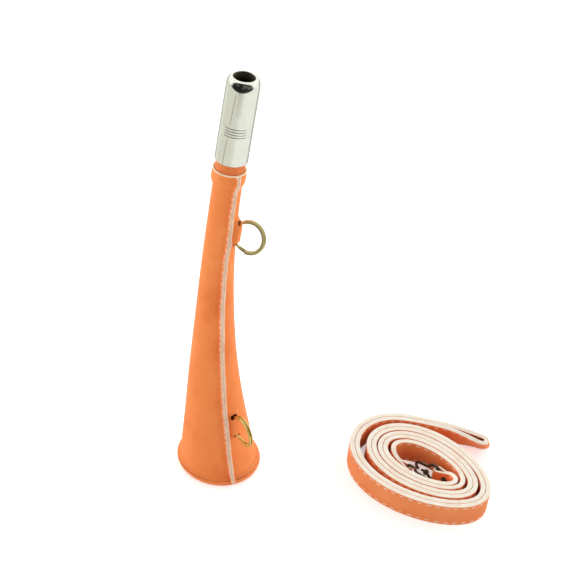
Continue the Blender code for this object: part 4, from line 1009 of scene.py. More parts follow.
@dataclass(frozen=True)
class LeatherCover:
    """The horn's leather cover: pinched seam, rolled lower bead, ring slits, open top."""

    top: float = 189.5 * MM
    turn_in: float = 9.0 * MM
    seam_width_top: float = 1.85 * MM
    seam_width_bell: float = 2.35 * MM
    seam_height: float = 1.9 * MM
    seam_waver: float = 0.16 * MM
    # The seam's wander: share, turn for each millimetre and start of its waves, and where it begins
    waver_waves: tuple[Triple, ...] = ((1.0, 0.21, 0.6), (0.7, 0.47, 2.1), (0.4, 1.13, 0.0))
    waver_total: float = 2.1
    waver_from: float = 4.0
    waver_rise: float = 12.0
    # The seam's section: edge (-1 left, 1 right), distance from it in millimetres, share of its height
    profile: tuple[Triple, ...] = (
        (-1.0, -1.1, 0.0), (-1.0, -0.55, 0.05), (-1.0, -0.2, 0.2), (-1.0, -0.05, 0.45), (-1.0, 0.0, 0.86),
        (-1.0, 0.1, 0.975), (-1.0, 0.22, 1.0), (0.0, -0.13, 1.0), (0.0, -0.05, 0.84),
        (0.0, 0.05, 0.84), (0.0, 0.13, 1.0), (1.0, -0.22, 1.0), (1.0, -0.1, 0.975),
        (1.0, 0.0, 0.86), (1.0, 0.05, 0.45), (1.0, 0.2, 0.2), (1.0, 0.55, 0.05), (1.0, 1.1, 0.0),
    )
    pinched: tuple[int, int] = (3, 15)
    cut_edge: tuple[int, int] = (5, 12)
    groove: tuple[int, int] = (8, 10)
    least_seam: float = 0.1 * MM
    # Painted shade in the groove along the top of the seam
    groove_shade: float = 0.22
    pinched_wear: float = 0.5
    near_reach: float = 9.4 * MM
    near_columns: int = 24
    rest_columns: int = 104
    # The top edge from inside to outside, in millimetres up and inwards; then seam, cut and wear
    lip: tuple[tuple[float, ...], ...] = (
        (0.0, 0.87, 0.0, 1.0, 0.3), (0.03, 0.475, 1.0, 1.0, 0.3), (0.0, 0.12, 1.0, 1.0, 0.8),
        (-0.12, 0.0, 1.0, 1.0, 1.0), (-0.45, 0.0, 1.0, 0.0, 0.6),
    )
    wall_steps: Pair = (0.42 * MM, 1.9 * MM)
    lining_steps: Pair = (1.4 * MM, 4.0 * MM)
    collar_rows: int = 14
    # The finer rows by a seat: how far past its bulge, and their gap as a share of a plain step
    past_bulge: float = 0.6 * MM
    seat_gap: float = 0.3
    clear_of_collar: float = 0.4 * MM
    clear_of_top: float = 0.9 * MM
    # The bell's foot in millimetres: height, and how far it stands out there
    foot: tuple[Pair, ...] = ((8.0, 0.02), (7.2, 0.07), (6.6, 0.15), (6.2, 0.24), (5.85, 0.36))
    # Angles round the rim wire of the bead's rows, closer together at its crease
    above_crease: tuple[float, float, int] = (70.0, 36.0, 7)
    at_crease: tuple[float, ...] = (32.5, 30.5, 29.0, 27.5, 26.0, 24.5, 21.0)
    below_crease: tuple[float, float, int] = (16.0, -180.0, 30)
    bead_seam: float = 0.6
    bead_seam_fade: Pair = (-40.0, 15.0)
    bead_wear: Triple = (0.45, 10.0, 38.0)
    face_wear: float = 0.2
    lining_bead: tuple[float, float, int] = (-180.0, 95.0, 16)
    crease_angle: float = 27.5
    crease_breadth: float = 2.4
    crease_depth: float = 0.28 * MM
    # The painted shade in the crease over the bead: how far it spreads up and down
    crease_shade_height: float = 0.3 * MM
    # Where the crease's painted shade is darkest: share, angle and breadth, over a share that it has all round
    crease_shade: float = 0.25
    crease_patches: tuple[Triple, ...] = ((0.6, -50.0, 38.0), (0.7, 38.0, 12.0))
    # The folds under the collar: place, angle, length, breadth and height
    folds: tuple[tuple[float, ...], ...] = (
        (182.0, -14.0, 1.1, 0.45, 0.3), (179.6, 2.0, 0.9, 0.4, 0.32), (180.6, -6.0, 0.6, 0.45, -0.3),
        (177.5, -52.0, 2.4, 0.3, 0.3),
    )
    # The painted shade in the longest fold: share, place, its fall for each degree, height, angle and breadth
    fold_shade: tuple[float, ...] = (0.32, 180.7, 0.04, 0.5, 2.0, 20.0)
    unevenness: float = 0.07 * MM
    # Its waves round the horn and for each millimetre up it, and up it alone with their start
    uneven_round: Pair = (3.0, 0.035)
    uneven_up: Pair = (0.061, 1.0)
    # A slit's near end, far end and width, at the tube and at the cover's face
    slit_inner: Triple = (3.7 * MM, 6.5 * MM, 4.0 * MM)
    slit_outer: Triple = (4.9 * MM, 7.3 * MM, 5.0 * MM)
    slit_corner: float = 0.9 * MM
    slit_start: float = 0.5 * MM
    slit_reach: Pair = (1.5 * MM, 2.0 * MM)
    slit_sides: int = 32
    stitch: StitchRows = StitchRows(3.3 * MM, 2.6 * MM, 0.46 * MM, 0.5 * MM, slant=9.0 * DEG, unevenness=0.3)
    stitched: Triple = (8.5, 183.5, 0.8)
    stitch_levels: Pair = (0.66, 0.38)
    stitch_proud: float = 0.03 * MM
    stitch_tilt: Pair = (0.8, 0.6)

    def waver(self, at: np.ndarray) -> np.ndarray:
        """Return the seam's small sideways wander at distances from the rim."""
        at = np.asarray(at) / MM
        wander = self.seam_waver * waves(at, self.waver_waves) / self.waver_total
        return wander * smooth_step((at - self.waver_from) / self.waver_rise)

    def half_seam(self, at: np.ndarray) -> np.ndarray:
        """Return half the seam's width at distances from the rim."""
        return (self.seam_width_bell + (self.seam_width_top - self.seam_width_bell) * at / self.top) / 2.0

    def columns(self, at: np.ndarray, radius: np.ndarray) -> Row:
        """Return each row's column angles and the seam's lift shares.

        Args:
            at: Distances from the rim.
            radius: The cover's radii there.

        Returns:
            The angles by row and column, and the lift share of each column.
        """
        around = np.maximum(radius, HORN.tube_radius(at))
        sides = [self.half_seam(at) * side + shift * MM for side, shift, _ in self.profile]
        last = sides[-1]
        for k in range(1, self.near_columns + 1):
            sides.append(last + (self.near_reach - last) * k / self.near_columns)
        near = np.stack(sides, axis=1) + self.waver(at)[:, None]
        angles = HORN.seam_angle(at)[:, None] + near / around[:, None]
        start, end = angles[:, -1:], angles[:, :1] + FULL_TURN
        share = np.arange(1, self.rest_columns)[None, :] / self.rest_columns
        lifts = np.zeros(len(sides) + self.rest_columns - 1)
        lifts[:len(self.profile)] = [lift for _, _, lift in self.profile]
        return np.concatenate([angles, start + (end - start) * share], axis=1), lifts

    def stations(self, near: float, plain: float) -> np.ndarray:
        """Return slice distances up the wall, closer together beside the ring seats."""
        found = list(np.arange(HORN.straight_at_rim, self.top, plain))
        for seat in SEATS:
            reach = seat.bulge_lengths[1] / 2.0 + self.past_bulge
            found = [s for s in found if abs(s - seat.at) > reach + self.seat_gap * plain]
            found += list(np.arange(-reach, reach, near) + seat.at)
        found = [s for s in found if s < HORN.collar_foot - self.clear_of_collar]
        found += list(np.linspace(HORN.collar_foot, self.top - self.clear_of_top, self.collar_rows))
        return np.array(sorted(found))

    def wrinkles(self, at: np.ndarray, angle: np.ndarray) -> np.ndarray:
        """Return the small folds under the collar and the cover's slight unevenness."""
        (turns, twist), (rate, start) = self.uneven_round, self.uneven_up
        lift = self.unevenness * np.sin(angle * turns + at / MM * twist) * np.sin(at / MM * rate + start)
        for place, turned, length, breadth, height in self.folds:
            lift = lift + height * MM * hump(at / MM, place, length) * hump(angle, turned * DEG, breadth)
        return lift

    def outer_rows(self) -> list[CoverRow]:
        """Return the rows over the top edge and down the outside to the bead."""
        rows = []
        for up, inwards, seam, cut, wear in self.lip:
            radius = float(HORN.outer_radius(self.top)) - inwards * MM
            rows.append(CoverRow(self.top + up * MM, radius, seam=seam * self.seam_height, cut=cut, wear=wear))
        for at in self.stations(*self.wall_steps)[::-1]:
            rows.append(CoverRow(at, HORN.outer_radius(at), seam=self.seam_height, seats=1.0))
        for at, push in self.foot:
            radius = HORN.bell_radius + HORN.cover_offset + push * MM
            rows.append(CoverRow(at * MM, radius, seam=self.seam_height))
        return rows

    def bead_rows(self) -> list[CoverRow]:
        """Return the rows round the rim wire to the turned-in edge inside the bell."""
        above, below = np.linspace(*self.above_crease), np.linspace(*self.below_crease)
        turned = np.concatenate([above, self.at_crease, below])
        heights, radii = HORN.rim_arc(HORN.bead_outer, turned * DEG)
        low, high = self.bead_seam_fade
        share, middle, breadth = self.bead_wear
        rows = []
        for angle, height, radius in zip(turned, heights, radii):
            along, out = math.sin(angle * DEG), math.cos(angle * DEG)
            sunk = self.crease_depth * hump(angle, self.crease_angle, self.crease_breadth)
            seam = self.seam_height * self.bead_seam * smooth_step((angle - low) / (high - low))
            wear = share * hump(angle, middle, breadth)
            rows.append(CoverRow(height - sunk * along, radius - sunk * out, along, out, seam, wear=wear))
        face = HORN.rim_radius - HORN.bead_outer
        rows.append(CoverRow(self.turn_in, face, cut=1.0, wear=self.face_wear))
        return rows

    def lining_rows(self) -> list[CoverRow]:
        """Return the rows of the inner face, back from the turned-in edge to the top."""
        face = HORN.rim_radius - HORN.bead_outer + HORN.cover_thickness
        rows = [CoverRow(self.turn_in, face)]
        turned = np.linspace(*self.lining_bead) * DEG
        rows += [CoverRow(height, radius) for height, radius in zip(*HORN.rim_arc(HORN.bead_inner, turned))]
        rows += [CoverRow(at, HORN.inner_radius(at), seats=1.0) for at in self.stations(*self.lining_steps)]
        return rows

    def shade_and_grime(self, at: np.ndarray, radius: np.ndarray, angles: np.ndarray, seam: np.ndarray) -> np.ndarray:
        """Return the painted shade in the crease over the bead, in the longest fold and in the seam's groove.

        Args:
            at: Each row's distance from the rim.
            radius: Each row's radius.
            angles: Angles by row and column.
            seam: The seam's height over each row, none on the inner face.

        Returns:
            The painted shade by row and column.
        """
        wrapped = (angles / DEG + 180.0) % 360.0 - 180.0
        on_bead = radius > HORN.rim_radius + HORN.bead_inner
        crease_at = HORN.rim_height + HORN.bead_outer * math.sin(self.crease_angle * DEG)
        crease = hump(at, crease_at, self.crease_shade_height) * on_bead
        patches = sum(share * hump(wrapped, angle, breadth) for share, angle, breadth in self.crease_patches)
        crease = np.clip(self.crease_shade + patches, 0.0, 1.0) * crease[:, None]
        share, place, fall, height, angle, breadth = self.fold_shade
        fold = hump(at[:, None] / MM + fall * wrapped, place, height) * hump(wrapped, angle, breadth)
        shade_and_grime = np.maximum(share * fold, crease) * (seam > 0.0)[:, None]
        shade_and_grime[seam > self.least_seam, slice(*self.groove)] = self.groove_shade
        shade_and_grime[on_bead, slice(*self.pinched)] = 0.0
        return shade_and_grime

    def mesh(self) -> bpy.types.Mesh:
        """Build the whole cover as one closed wall."""
        listed = self.outer_rows() + self.bead_rows() + self.lining_rows()
        table = {key: np.array([getattr(row, key) for row in listed], dtype=float) for key in vars(listed[0])}
        at, radius, seam = table["at"], table["radius"], table["seam"]
        angles, lifts = self.columns(at, radius)
        seats = np.maximum(*(seat.bulge(at[:, None], angles) for seat in SEATS))
        folds = self.wrinkles(at[:, None], angles) * (seam > 0.0)[:, None]
        lift = seam[:, None] * lifts[None, :] + (seats + folds) * table["seats"][:, None]
        along = at[:, None] + lift * table["lift_along"][:, None]
        out = radius[:, None] + lift * table["lift_out"][:, None]
        rows = LINE.points(along, out, angles)
        numbers = np.zeros(angles.shape, dtype=np.int32)
        numbers[table["cut"] == 1.0] = 2
        numbers[seam > self.least_seam, slice(*self.cut_edge)] = 1
        worn = table["wear"][:, None] * np.ones_like(angles)
        pinched = slice(*self.pinched)
        worn[:, pinched] = np.maximum(worn[:, pinched], self.pinched_wear * (seam > 0.0)[:, None])
        values = {"wear": worn, "shade_and_grime": self.shade_and_grime(at, radius, angles, seam)}
        return skin("leather_wrap", rows, numbers, values=values)

    def slit(self, seat: RingSeat, side: float) -> bpy.types.Object:
        """Make the rounded block that opens one slit above or below a staple."""
        turns, corner = round_turn(self.slit_sides), self.slit_corner
        inner = HORN.clearance + self.slit_start
        outer = HORN.cover_offset + seat.lug_top
        rings = []
        for level in (inner - self.slit_reach[0], inner, outer, outer + self.slit_reach[1]):
            share = min(max((level - inner) / (outer - inner), 0.0), 1.0)
            near, far, wide = (a + (b - a) * share for a, b in zip(self.slit_inner, self.slit_outer))
            up, across = (
                np.clip(wave * 2.0, -1.0, 1.0) * (length / 2.0 - corner) + corner * wave
                for wave, length in ((np.cos(turns), far - near), (np.sin(turns), wide))
            )
            rings.append(seat.place(up + side * (near + far) / 2.0, across, level))
        return put("slit", skin("slit", np.array(rings), loops=False))

    def open_slits(self, mesh: bpy.types.Mesh) -> bpy.types.Mesh:
        """Cut the four slits for the rings and return the new mesh."""
        holder = put("cover_holder", mesh)
        cutters = [self.slit(seat, side) for seat in SEATS for side in (1.0, -1.0)]
        for cutter in cutters:
            step = holder.modifiers.new("slit", "BOOLEAN")
            step.object = cutter
            step.operation = "DIFFERENCE"
            step.solver = "EXACT"
        found = shaped(holder, *cutters)
        found.set_sharp_from_angle(angle=SHARP)
        return found

    def stitch_paths(self) -> list[Row]:
        """Return the stitch rows' points and directions on both flanks of the seam."""
        at = np.arange(*self.stitched) * MM
        radius = HORN.outer_radius(at)
        paths = []
        for sign, level in zip((-1.0, 1.0), self.stitch_levels):
            shift = sign * (self.half_seam(at) + self.stitch_proud) + self.waver(at)
            angle = HORN.seam_angle(at) + shift / radius
            points = LINE.points(at, radius + level * self.seam_height, angle)
            across = unit(LINE.points(at, radius, angle + SMALL_TURN) - LINE.points(at, radius, angle)) * sign
            away = unit(points - (LINE.middle(at) + BELL_CENTRE))
            paths.append((points, unit(across * self.stitch_tilt[0] + away * self.stitch_tilt[1])))
        return paths

    def make(self, workshop: Workshop) -> None:
        """Make the cover and its stitches."""
        mesh = self.open_slits(self.mesh())
        finishes = (COVER_LEATHER, SEAM_EDGE, TOP_EDGE)
        workshop.piece("leather_cover_sewn", mesh, finishes, Body.HORN, ["leather_cover"])
        thread = self.stitch.lay("seam_stitches", self.stitch_paths(), workshop.material(SEAM_THREAD))
        workshop.piece("seam_stitches", thread, [SEAM_THREAD], Body.HORN)


@dataclass(frozen=True)
class NeckStrip:
    """The leather strip wrapped round the neck under the cover's edge."""

    columns: int = 96
    face_rows: int = 7
    # How far the face's rows keep from the foot and from the top
    face_clear: Pair = (1.5 * MM, 0.8 * MM)
    foot_corner: float = 0.15 * MM
    # The rounded top edge: distances below the top and inside the face
    top_edge: tuple[Pair, ...] = ((0.3 * MM, 0.03 * MM), (0.08 * MM, 0.16 * MM), (0.0, 0.35 * MM))
    inner_corner: float = 0.1 * MM
    edge_wear: float = 0.8
    edge_reach: float = 0.5 * MM

    def section(self) -> np.ndarray:
        """Return the rounded section's distances and offsets from the tube."""
        foot, top = HORN.strip_foot, HORN.strip_top
        inner, outer = HORN.clearance, HORN.clearance + HORN.strip_thickness
        low, high = self.face_clear
        points = [(foot, inner), (foot, outer - self.foot_corner), (foot + self.foot_corner, outer)]
        points += [(s, outer) for s in np.linspace(foot + low, top - high, self.face_rows)]
        points += [(top - below, outer - inside) for below, inside in self.top_edge]
        points += [(top, inner + self.inner_corner), (top - self.inner_corner, inner)]
        return np.array(points)

    def make(self, workshop: Workshop) -> None:
        """Make the strip as a ring with rounded edges."""
        at, offset = self.section().T
        radius = HORN.tube_radius(at) + offset
        rows = LINE.points(at[:, None], radius[:, None], round_turn(self.columns)[None, :])
        wear = self.edge_wear * hump(at, HORN.strip_top, self.edge_reach)[:, None]
        mesh = skin("neck_wrap", rows, values={"wear": wear})
        workshop.piece("neck_strip_leather", mesh, [STRIP_LEATHER], Body.HORN, ["neck_strip"])


@dataclass(frozen=True)
class Mouthpiece:
    """The plated mouthpiece: grooved barrel, rounded shoulder, and a bore darkened with painted shade."""

    radius: float = 8.3 * MM
    length: float = 45.5 * MM
    wall: float = 0.8 * MM
    base: float = 1.1 * MM
    # The rounded lower edge: heights and how far inside the barrel's face
    foot: tuple[Pair, ...] = ((0.0, 0.3 * MM), (0.08 * MM, 0.12 * MM), (0.3 * MM, 0.0), (0.9 * MM, 0.0))
    hole_radius: float = 5.48 * MM
    throat_from: float = 1.6 * MM
    throat_depth: float = 4.0 * MM
    cavity_from: float = 8.0 * MM
    shoulder: float = 2.4 * MM
    shoulder_height: float = 4.8 * MM
    shoulder_rows: int = 17
    lip: float = 0.35 * MM
    lip_rows: int = 7
    barrel_below: tuple[float, float, int] = (3.0 * MM, 16.0 * MM, 8)
    barrel_from: float = 23.6 * MM
    clear_of_shoulder: float = 0.5 * MM
    barrel_rows: int = 10
    grooves: int = 4
    groove_pitch: float = 1.45 * MM
    groove_width: float = 0.42 * MM
    groove_depth: float = 0.11 * MM
    # Painted shade in the grooves, where they sink deeper than a share of their depth
    groove_shade: float = 0.2
    groove_shade_from: float = 0.6
    grooves_above_base: float = 16.4 * MM
    # A groove's section: share of its width from its middle, share of its depth
    groove_section: tuple[Pair, ...] = (
        (-0.7, 0.0), (-0.5, 0.05), (-0.2, 0.8), (0.0, 1.0), (0.2, 0.8), (0.5, 0.05), (0.7, 0.0)
    )
    tenon_radius: float = 3.8 * MM
    columns: int = 120
    sharp: float = 50.0 * DEG
    joint_angle: float = -27.5 * DEG
    joint_lean: float = 12.5 * DEG
    joint_half_width: float = 0.17 * MM
    joint_depth: float = 0.12 * MM
    joint_columns: tuple[float, ...] = (-1.6, -0.9, 0.0, 0.9, 1.6)
    joint_flank: Pair = (0.3, 0.35)
    # The joint line in millimetres up: its gap at the grooves, that gap's steepness, and its end
    joint_gap: Pair = (18.7, 3.4)
    joint_gap_power: int = 8
    joint_end: float = 40.5
    joint_waves: tuple[Triple, ...] = ((0.006, 0.55, 0.0), (0.004, 1.3, 1.0))
    clear_of_joint: float = 2.6 * DEG

    def outside(self) -> list[Pair]:
        """Return the outer profile from the base to the lip as distances and radii."""
        base, top = HORN.shell_base, HORN.shell_base + self.length
        points = [(base + up, self.radius - inside) for up, inside in self.foot]
        low, high, count = self.barrel_below
        points += [(s, self.radius) for s in np.linspace(base + low, base + high, count)]
        for k in range(self.grooves):
            middle = base + self.grooves_above_base + self.groove_pitch * k
            for share, depth in self.groove_section:
                points.append((middle + share * self.groove_width, self.radius - depth * self.groove_depth))
        shoulder_foot = top - self.shoulder_height
        high = shoulder_foot - self.clear_of_shoulder
        points += [(s, self.radius) for s in np.linspace(base + self.barrel_from, high, self.barrel_rows)]
        inward = min(self.shoulder, self.radius - self.hole_radius - self.lip)
        for angle in np.linspace(0.0, 90.0 * DEG, self.shoulder_rows):
            up = self.shoulder_height * math.sin(angle)
            points.append((shoulder_foot + up, self.radius - inward * (1.0 - math.cos(angle))))
        for angle in np.linspace(0.0, 90.0 * DEG, self.lip_rows)[1:]:
            drop, wider = self.lip * (1.0 - math.cos(angle)), self.lip * (1.0 - math.sin(angle))
            points.append((top - drop, self.hole_radius + wider))
        return points

    def inside(self) -> list[Pair]:
        """Return the inner profile from the hole to the base as distances and radii."""
        base, top = HORN.shell_base, HORN.shell_base + self.length
        cavity, throat = self.radius - self.wall, top - self.throat_depth
        bore = self.tenon_radius + HORN.clearance
        return [
            (top - self.throat_from, self.hole_radius), (throat, self.hole_radius),
            (throat - (cavity - self.hole_radius), cavity), (base + self.cavity_from, cavity),
            (base + self.base, cavity), (base + self.base, bore), (base, bore),
        ]

    def joint_share(self, above: np.ndarray, outer: np.ndarray) -> np.ndarray:
        """Return how deep the joint line is at heights in millimetres, none at the grooves."""
        middle, breadth = self.joint_gap
        clear = 1.0 - np.exp(-((above - middle) / breadth) ** self.joint_gap_power)
        return outer * clear * smooth_step(self.joint_end - above)

    def mesh(self) -> bpy.types.Mesh:
        """Build the shell as one closed wall with a fine joint line down its barrel."""
        outside = self.outside()
        at, radius = np.array(outside + self.inside()).T
        outer = (np.arange(len(at)) < len(outside)).astype(float)
        above = (at - HORN.shell_base) / MM
        fine = np.array(self.joint_columns) * self.joint_half_width / self.radius
        order = np.concatenate([fine, round_turn(self.columns)[:-1] + self.clear_of_joint]) + self.joint_angle
        angles = order[None, :] + self.joint_lean * (at - HORN.shell_base)[:, None] / self.length
        angles[:, :len(fine)] += waves(above, self.joint_waves)[:, None]
        line = self.joint_share(above, outer)[:, None]
        depth, shade_and_grime = np.zeros(angles.shape), np.zeros(angles.shape)
        for table, flank in zip((depth, shade_and_grime), self.joint_flank):
            table[:, 1:4] = np.array([flank, 1.0, flank])[None, :] * line
        rows = LINE.points(at[:, None], radius[:, None] - depth * self.joint_depth, angles)
        grooved = (above > self.foot[-1][0] / MM) & (above < self.barrel_from / MM)
        # Painted shade in the grooves, added to the dark joint line
        dip = grooved * outer * (self.radius - radius > self.groove_shade_from * self.groove_depth)
        shade_and_grime = np.maximum(shade_and_grime, self.groove_shade * dip[:, None])
        numbers = np.zeros(angles.shape, dtype=np.int32)
        numbers[len(outside) - 1:-1] = 1
        return skin("mouthpiece_barrel", rows, numbers, sharp=self.sharp, values={"shade_and_grime": shade_and_grime})

    def make(self, workshop: Workshop) -> None:
        """Make the shell and dress the pieces inside it."""
        finishes = (NICKEL, SHADED_BORE)
        workshop.piece("mouthpiece_plated", self.mesh(), finishes, Body.MOUTHPIECE, ["mouthpiece_shell"])
        for node in ("tenon_tube", "reed_block", "reed_shallot", "reed_tongue"):
            workshop.dress(node, TUBE_BRASS)
        workshop.dress("reed_wedge", HOOK_METAL)
        workshop.dress("tenon_cork", SHEET_CORK)


@dataclass(frozen=True)
class SplitRing:
    """A split ring of two flat turns, hung in its staple."""

    name: str
    seat: RingSeat
    body: Body
    finish: MetalFinish
    outer_radius: float = 9.0 * MM
    band: float = 1.42 * MM
    full_band: float = 1.95 * MM
    full_from: float = 35.0 * DEG
    turn_thickness: float = 0.7 * MM
    turn_gap: float = 0.36 * MM
    step_span: float = 40.0 * DEG
    step_at: float = 235.0 * DEG
    end_gap: float = 8.0 * DEG
    rest_swing: float = -5.0 * DEG
    points_per_turn: int = 96
    corner: float = 0.22 * MM
    corner_steps: int = 4
    groove_depth: float = 0.1 * MM
    groove_share: float = 0.1
    groove_bottom: float = 0.1
    # Painted shade on the faces between the two turns, and in the groove that stands for the line between them
    gap_shade: float = 0.55
    groove_shade: float = 0.6
    sharp: float = 60.0 * DEG

    def section(self) -> np.ndarray:
        """Return the band's rounded section as radial and sideways distances."""
        across, up = self.band / 2.0 - self.corner, self.turn_thickness / 2.0 - self.corner
        groove = self.groove_share * self.band
        points = []
        for quarter, (x, y) in enumerate(((1.0, 1.0), (-1.0, 1.0), (-1.0, -1.0), (1.0, -1.0))):
            if quarter in (1, 3):
                for share, dip in ((-1.0, 0.0), (0.0, 1.0), (1.0, 0.0)):
                    points.append((x * share * groove, y * (up + self.corner - dip * self.groove_depth)))
            for angle in (quarter + np.arange(self.corner_steps + 1) / self.corner_steps) * 90.0 * DEG:
                level, rise = self.corner * math.cos(angle), self.corner * math.sin(angle)
                points.append((x * across + level, y * up + rise))
        return np.array(points)

    def make(self, workshop: Workshop) -> None:
        """Make the ring and dress its staple."""
        middle = self.outer_radius - self.band / 2.0
        layer = (self.turn_thickness + self.turn_gap) / 2.0
        start = self.step_span / 2.0 + self.end_gap
        end = 2.0 * FULL_TURN - start
        turned = np.linspace(start, end, round((end - start) / FULL_TURN * self.points_per_turn) + 1)
        share = (turned - FULL_TURN + self.step_span / 2.0) / self.step_span
        height = layer * (2.0 * smooth_step(share) - 1.0)
        swing = np.array(Matrix.Rotation(self.rest_swing, 3, Vector(self.seat.upward)))
        out, side = swing @ self.seat.outward, swing @ self.seat.sideways
        axis = self.seat.foot + self.seat.outward * self.seat.axis_height
        angle = turned + self.step_at
        across, up = self.section().T
        radial = out * np.cos(angle)[:, None] + self.seat.upward * np.sin(angle)[:, None]
        from_staple = np.abs(angle % FULL_TURN - math.pi) / self.full_from - 1.0
        fuller = 1.0 + (self.full_band / self.band - 1.0) * smooth_step(from_staple)[:, None]
        reach = middle + across * fuller - (fuller - 1.0) * self.band / 2.0
        rows = axis + out * middle + radial[:, None, :] * reach[..., None]
        rows = rows + side * (height[:, None] + up)[..., None]
        # Painted shade between the turns and in the groove
        facing_gap = (turned < FULL_TURN)[:, None] == (up > 0.0)[None, :]
        in_groove = np.abs(across) < self.groove_bottom * self.groove_share * self.band
        shade_and_grime = np.maximum(self.gap_shade * facing_gap, self.groove_shade * in_groove[None, :])
        mesh = skin(self.name, rows, loops=False, sharp=self.sharp, values={"shade_and_grime": shade_and_grime})
        workshop.piece(f"{self.name}_band", mesh, [self.finish], self.body, [self.name])
        workshop.dress(self.name.replace("ring", "lug"), TUBE_BRASS)


@dataclass(frozen=True)
class StrapRoute:
    """The strap's middle line: doubled at its middle and wound on edge round an oval."""

    thickness: float = 2.6 * MM
    turn_gap: float = 0.3 * MM
    centre: Pair = (114.0 * MM, 4.0 * MM)
    drift: Pair = (-0.5 * MM, 0.3 * MM)
    turned: float = -30.6 * DEG
    half_length: float = 42.1 * MM
    half_breadth: float = 28.5 * MM
    egg: float = 0.1
    end_looseness: float = 1.2 * MM
    side_looseness: float = 0.3 * MM
    first_slack: float = 3.0 * MM
    slack_peak: float = 0.32
    slack_before: float = 0.26
    slack_after: float = 0.23
    start: float = 0.1
    points_per_loop: int = 24
    crowding: float = 0.15
    # Each strand: turns to its end, side of the doubled strap, how its end turns in
    strands: tuple[Triple, ...] = ((3.35, 1.0, 38.0 * DEG), (2.85, -1.0, 42.0 * DEG))
    lead: float = 47.0 * MM
    lead_bend: float = 190.0 * MM
    lead_points: int = 8
    hairpin_radius: float = 2.6 * MM
    hairpin_points: int = 8
    end_shift: float = 1.4 * MM
    end_shift_length: float = 18.0 * MM
    end_straight: float = 8.0 * MM
    # The last points: share of the end's turn, share of its straight length
    end_steps: tuple[Pair, ...] = ((0.5, 0.35), (1.0, 0.35), (1.0, 0.3))
    heading_step: float = 1e-4
    lean: float = 38.0 * DEG
    lean_reach: float = 44.0 * MM
    lean_shift: float = 13.4 * MM
    lean_drawn_in: float = 3.4 * MM
    lean_of_edge: float = 0.4

    @property
    def spacing(self) -> float:
        """The distance between neighbouring turns' middles."""
        return self.thickness + self.turn_gap

    def oval(self, turns: Any) -> np.ndarray:
        """Return the doubled strap's middle points after so many turns."""
        turns = np.asarray(turns, dtype=float)
        width = np.where(turns < self.slack_peak, self.slack_before, self.slack_after)
        slack = self.first_slack * hump(turns, self.slack_peak, width)
        half_length = self.half_length - (2.0 * self.spacing + self.end_looseness) * turns + slack
        half_breadth = self.half_breadth - (2.0 * self.spacing + self.side_looseness) * turns + slack
        angle = FULL_TURN * turns
        along = -half_length * np.sin(angle)
        across = half_breadth * np.cos(angle) * (1.0 + self.egg * np.sin(angle))
        cosine, sine = math.cos(self.turned), math.sin(self.turned)
        x = self.centre[0] + self.drift[0] * turns + along * cosine - across * sine
        y = self.centre[1] + self.drift[1] * turns + along * sine + across * cosine
        return np.stack([x, y], axis=-1)

    def heading(self, turns: Any) -> np.ndarray:
        """Return the oval's unit direction of travel after so many turns."""
        turns = np.asarray(turns)
        return unit(self.oval(turns + self.heading_step) - self.oval(turns - self.heading_step))

    def crowded(self, turns: Any) -> Any:
        """Return the turns moved a little towards the oval's tighter ends."""
        return turns + self.crowding * np.sin(2.0 * FULL_TURN * turns) / (2.0 * FULL_TURN)

    def strand(self, last: float, side: float, aim: float) -> list[np.ndarray]:
        """Return one strand from the coil's start inwards, with its straight end."""
        count = round((last - self.start) * self.points_per_loop)
        turns = self.crowded(self.start + np.arange(count + 1) / self.points_per_loop)
        middle = self.oval(turns)
        gone = travelled(middle)
        inward = self.end_shift * smooth_step(1.0 - (gone[-1] - gone) / self.end_shift_length)
        offset = side * self.spacing / 2.0 - inward
        points = list(middle + right_of(self.heading(turns)) * offset[:, None])
        onward = points[-1] - points[-2]
        angle = math.atan2(onward[1], onward[0])
        for share, step in self.end_steps:
            aimed = angle + aim * share
            points.append(points[-1] + np.array([math.cos(aimed), math.sin(aimed)]) * self.end_straight * step)
        return points

    def lead_point(self, share: float) -> Row:
        """Return the doubled strap's middle on its way out of the coil, and its outer side."""
        start = self.crowded(self.start)
        back = -self.heading(start)
        side = right_of(-back)
        turned = self.lead * share / self.lead_bend
        bent = back * math.sin(turned) - side * (1.0 - math.cos(turned))
        return self.oval(start) + bent * self.lead_bend, side * math.cos(turned) + back * math.sin(turned)

    def lean_share(self, curve: np.ndarray, along: np.ndarray) -> np.ndarray:
        """Return how far each point of the strap's curve leans, most at the doubled end."""
        middle, out = self.lead_point(1.0)
        tip = middle + right_of(out) * self.hairpin_radius + BELL_CENTRE[:2]
        at_tip = along[np.argmin(np.linalg.norm(curve - tip, axis=1))]
        return smooth_step(1.0 - np.abs(along - at_tip) / self.lean_reach)

    def leaned(self, points: np.ndarray, middle: np.ndarray, share: np.ndarray) -> np.ndarray:
        """Lean the doubled end: its top stays nearly in place, its foot goes outwards.

        Args:
            points: Points by row and column.
            middle: The strap's middle line, one point for each row.
            share: How far each row leans.

        Returns:
            The leaned points.
        """
        out = self.lead_point(1.0)[1]
        onward, out = np.append(right_of(out), 0.0), np.append(out, 0.0)
        apart = points - raised(middle)[:, None, :]
        level, height = apart @ out * self.lean_of_edge, apart[..., 2]
        cosine, sine = np.cos(self.lean * share)[:, None], np.sin(self.lean * share)[:, None]
        moved = level * (cosine - 1.0) + (self.lean_shift - height) * sine
        lifted = height * (cosine - 1.0) + (level + self.lean_of_edge * self.thickness / 2.0) * sine
        drawn = onward * (self.lean_drawn_in * share)[:, None, None]
        return points - drawn + out * moved[..., None] + UP * lifted[..., None]

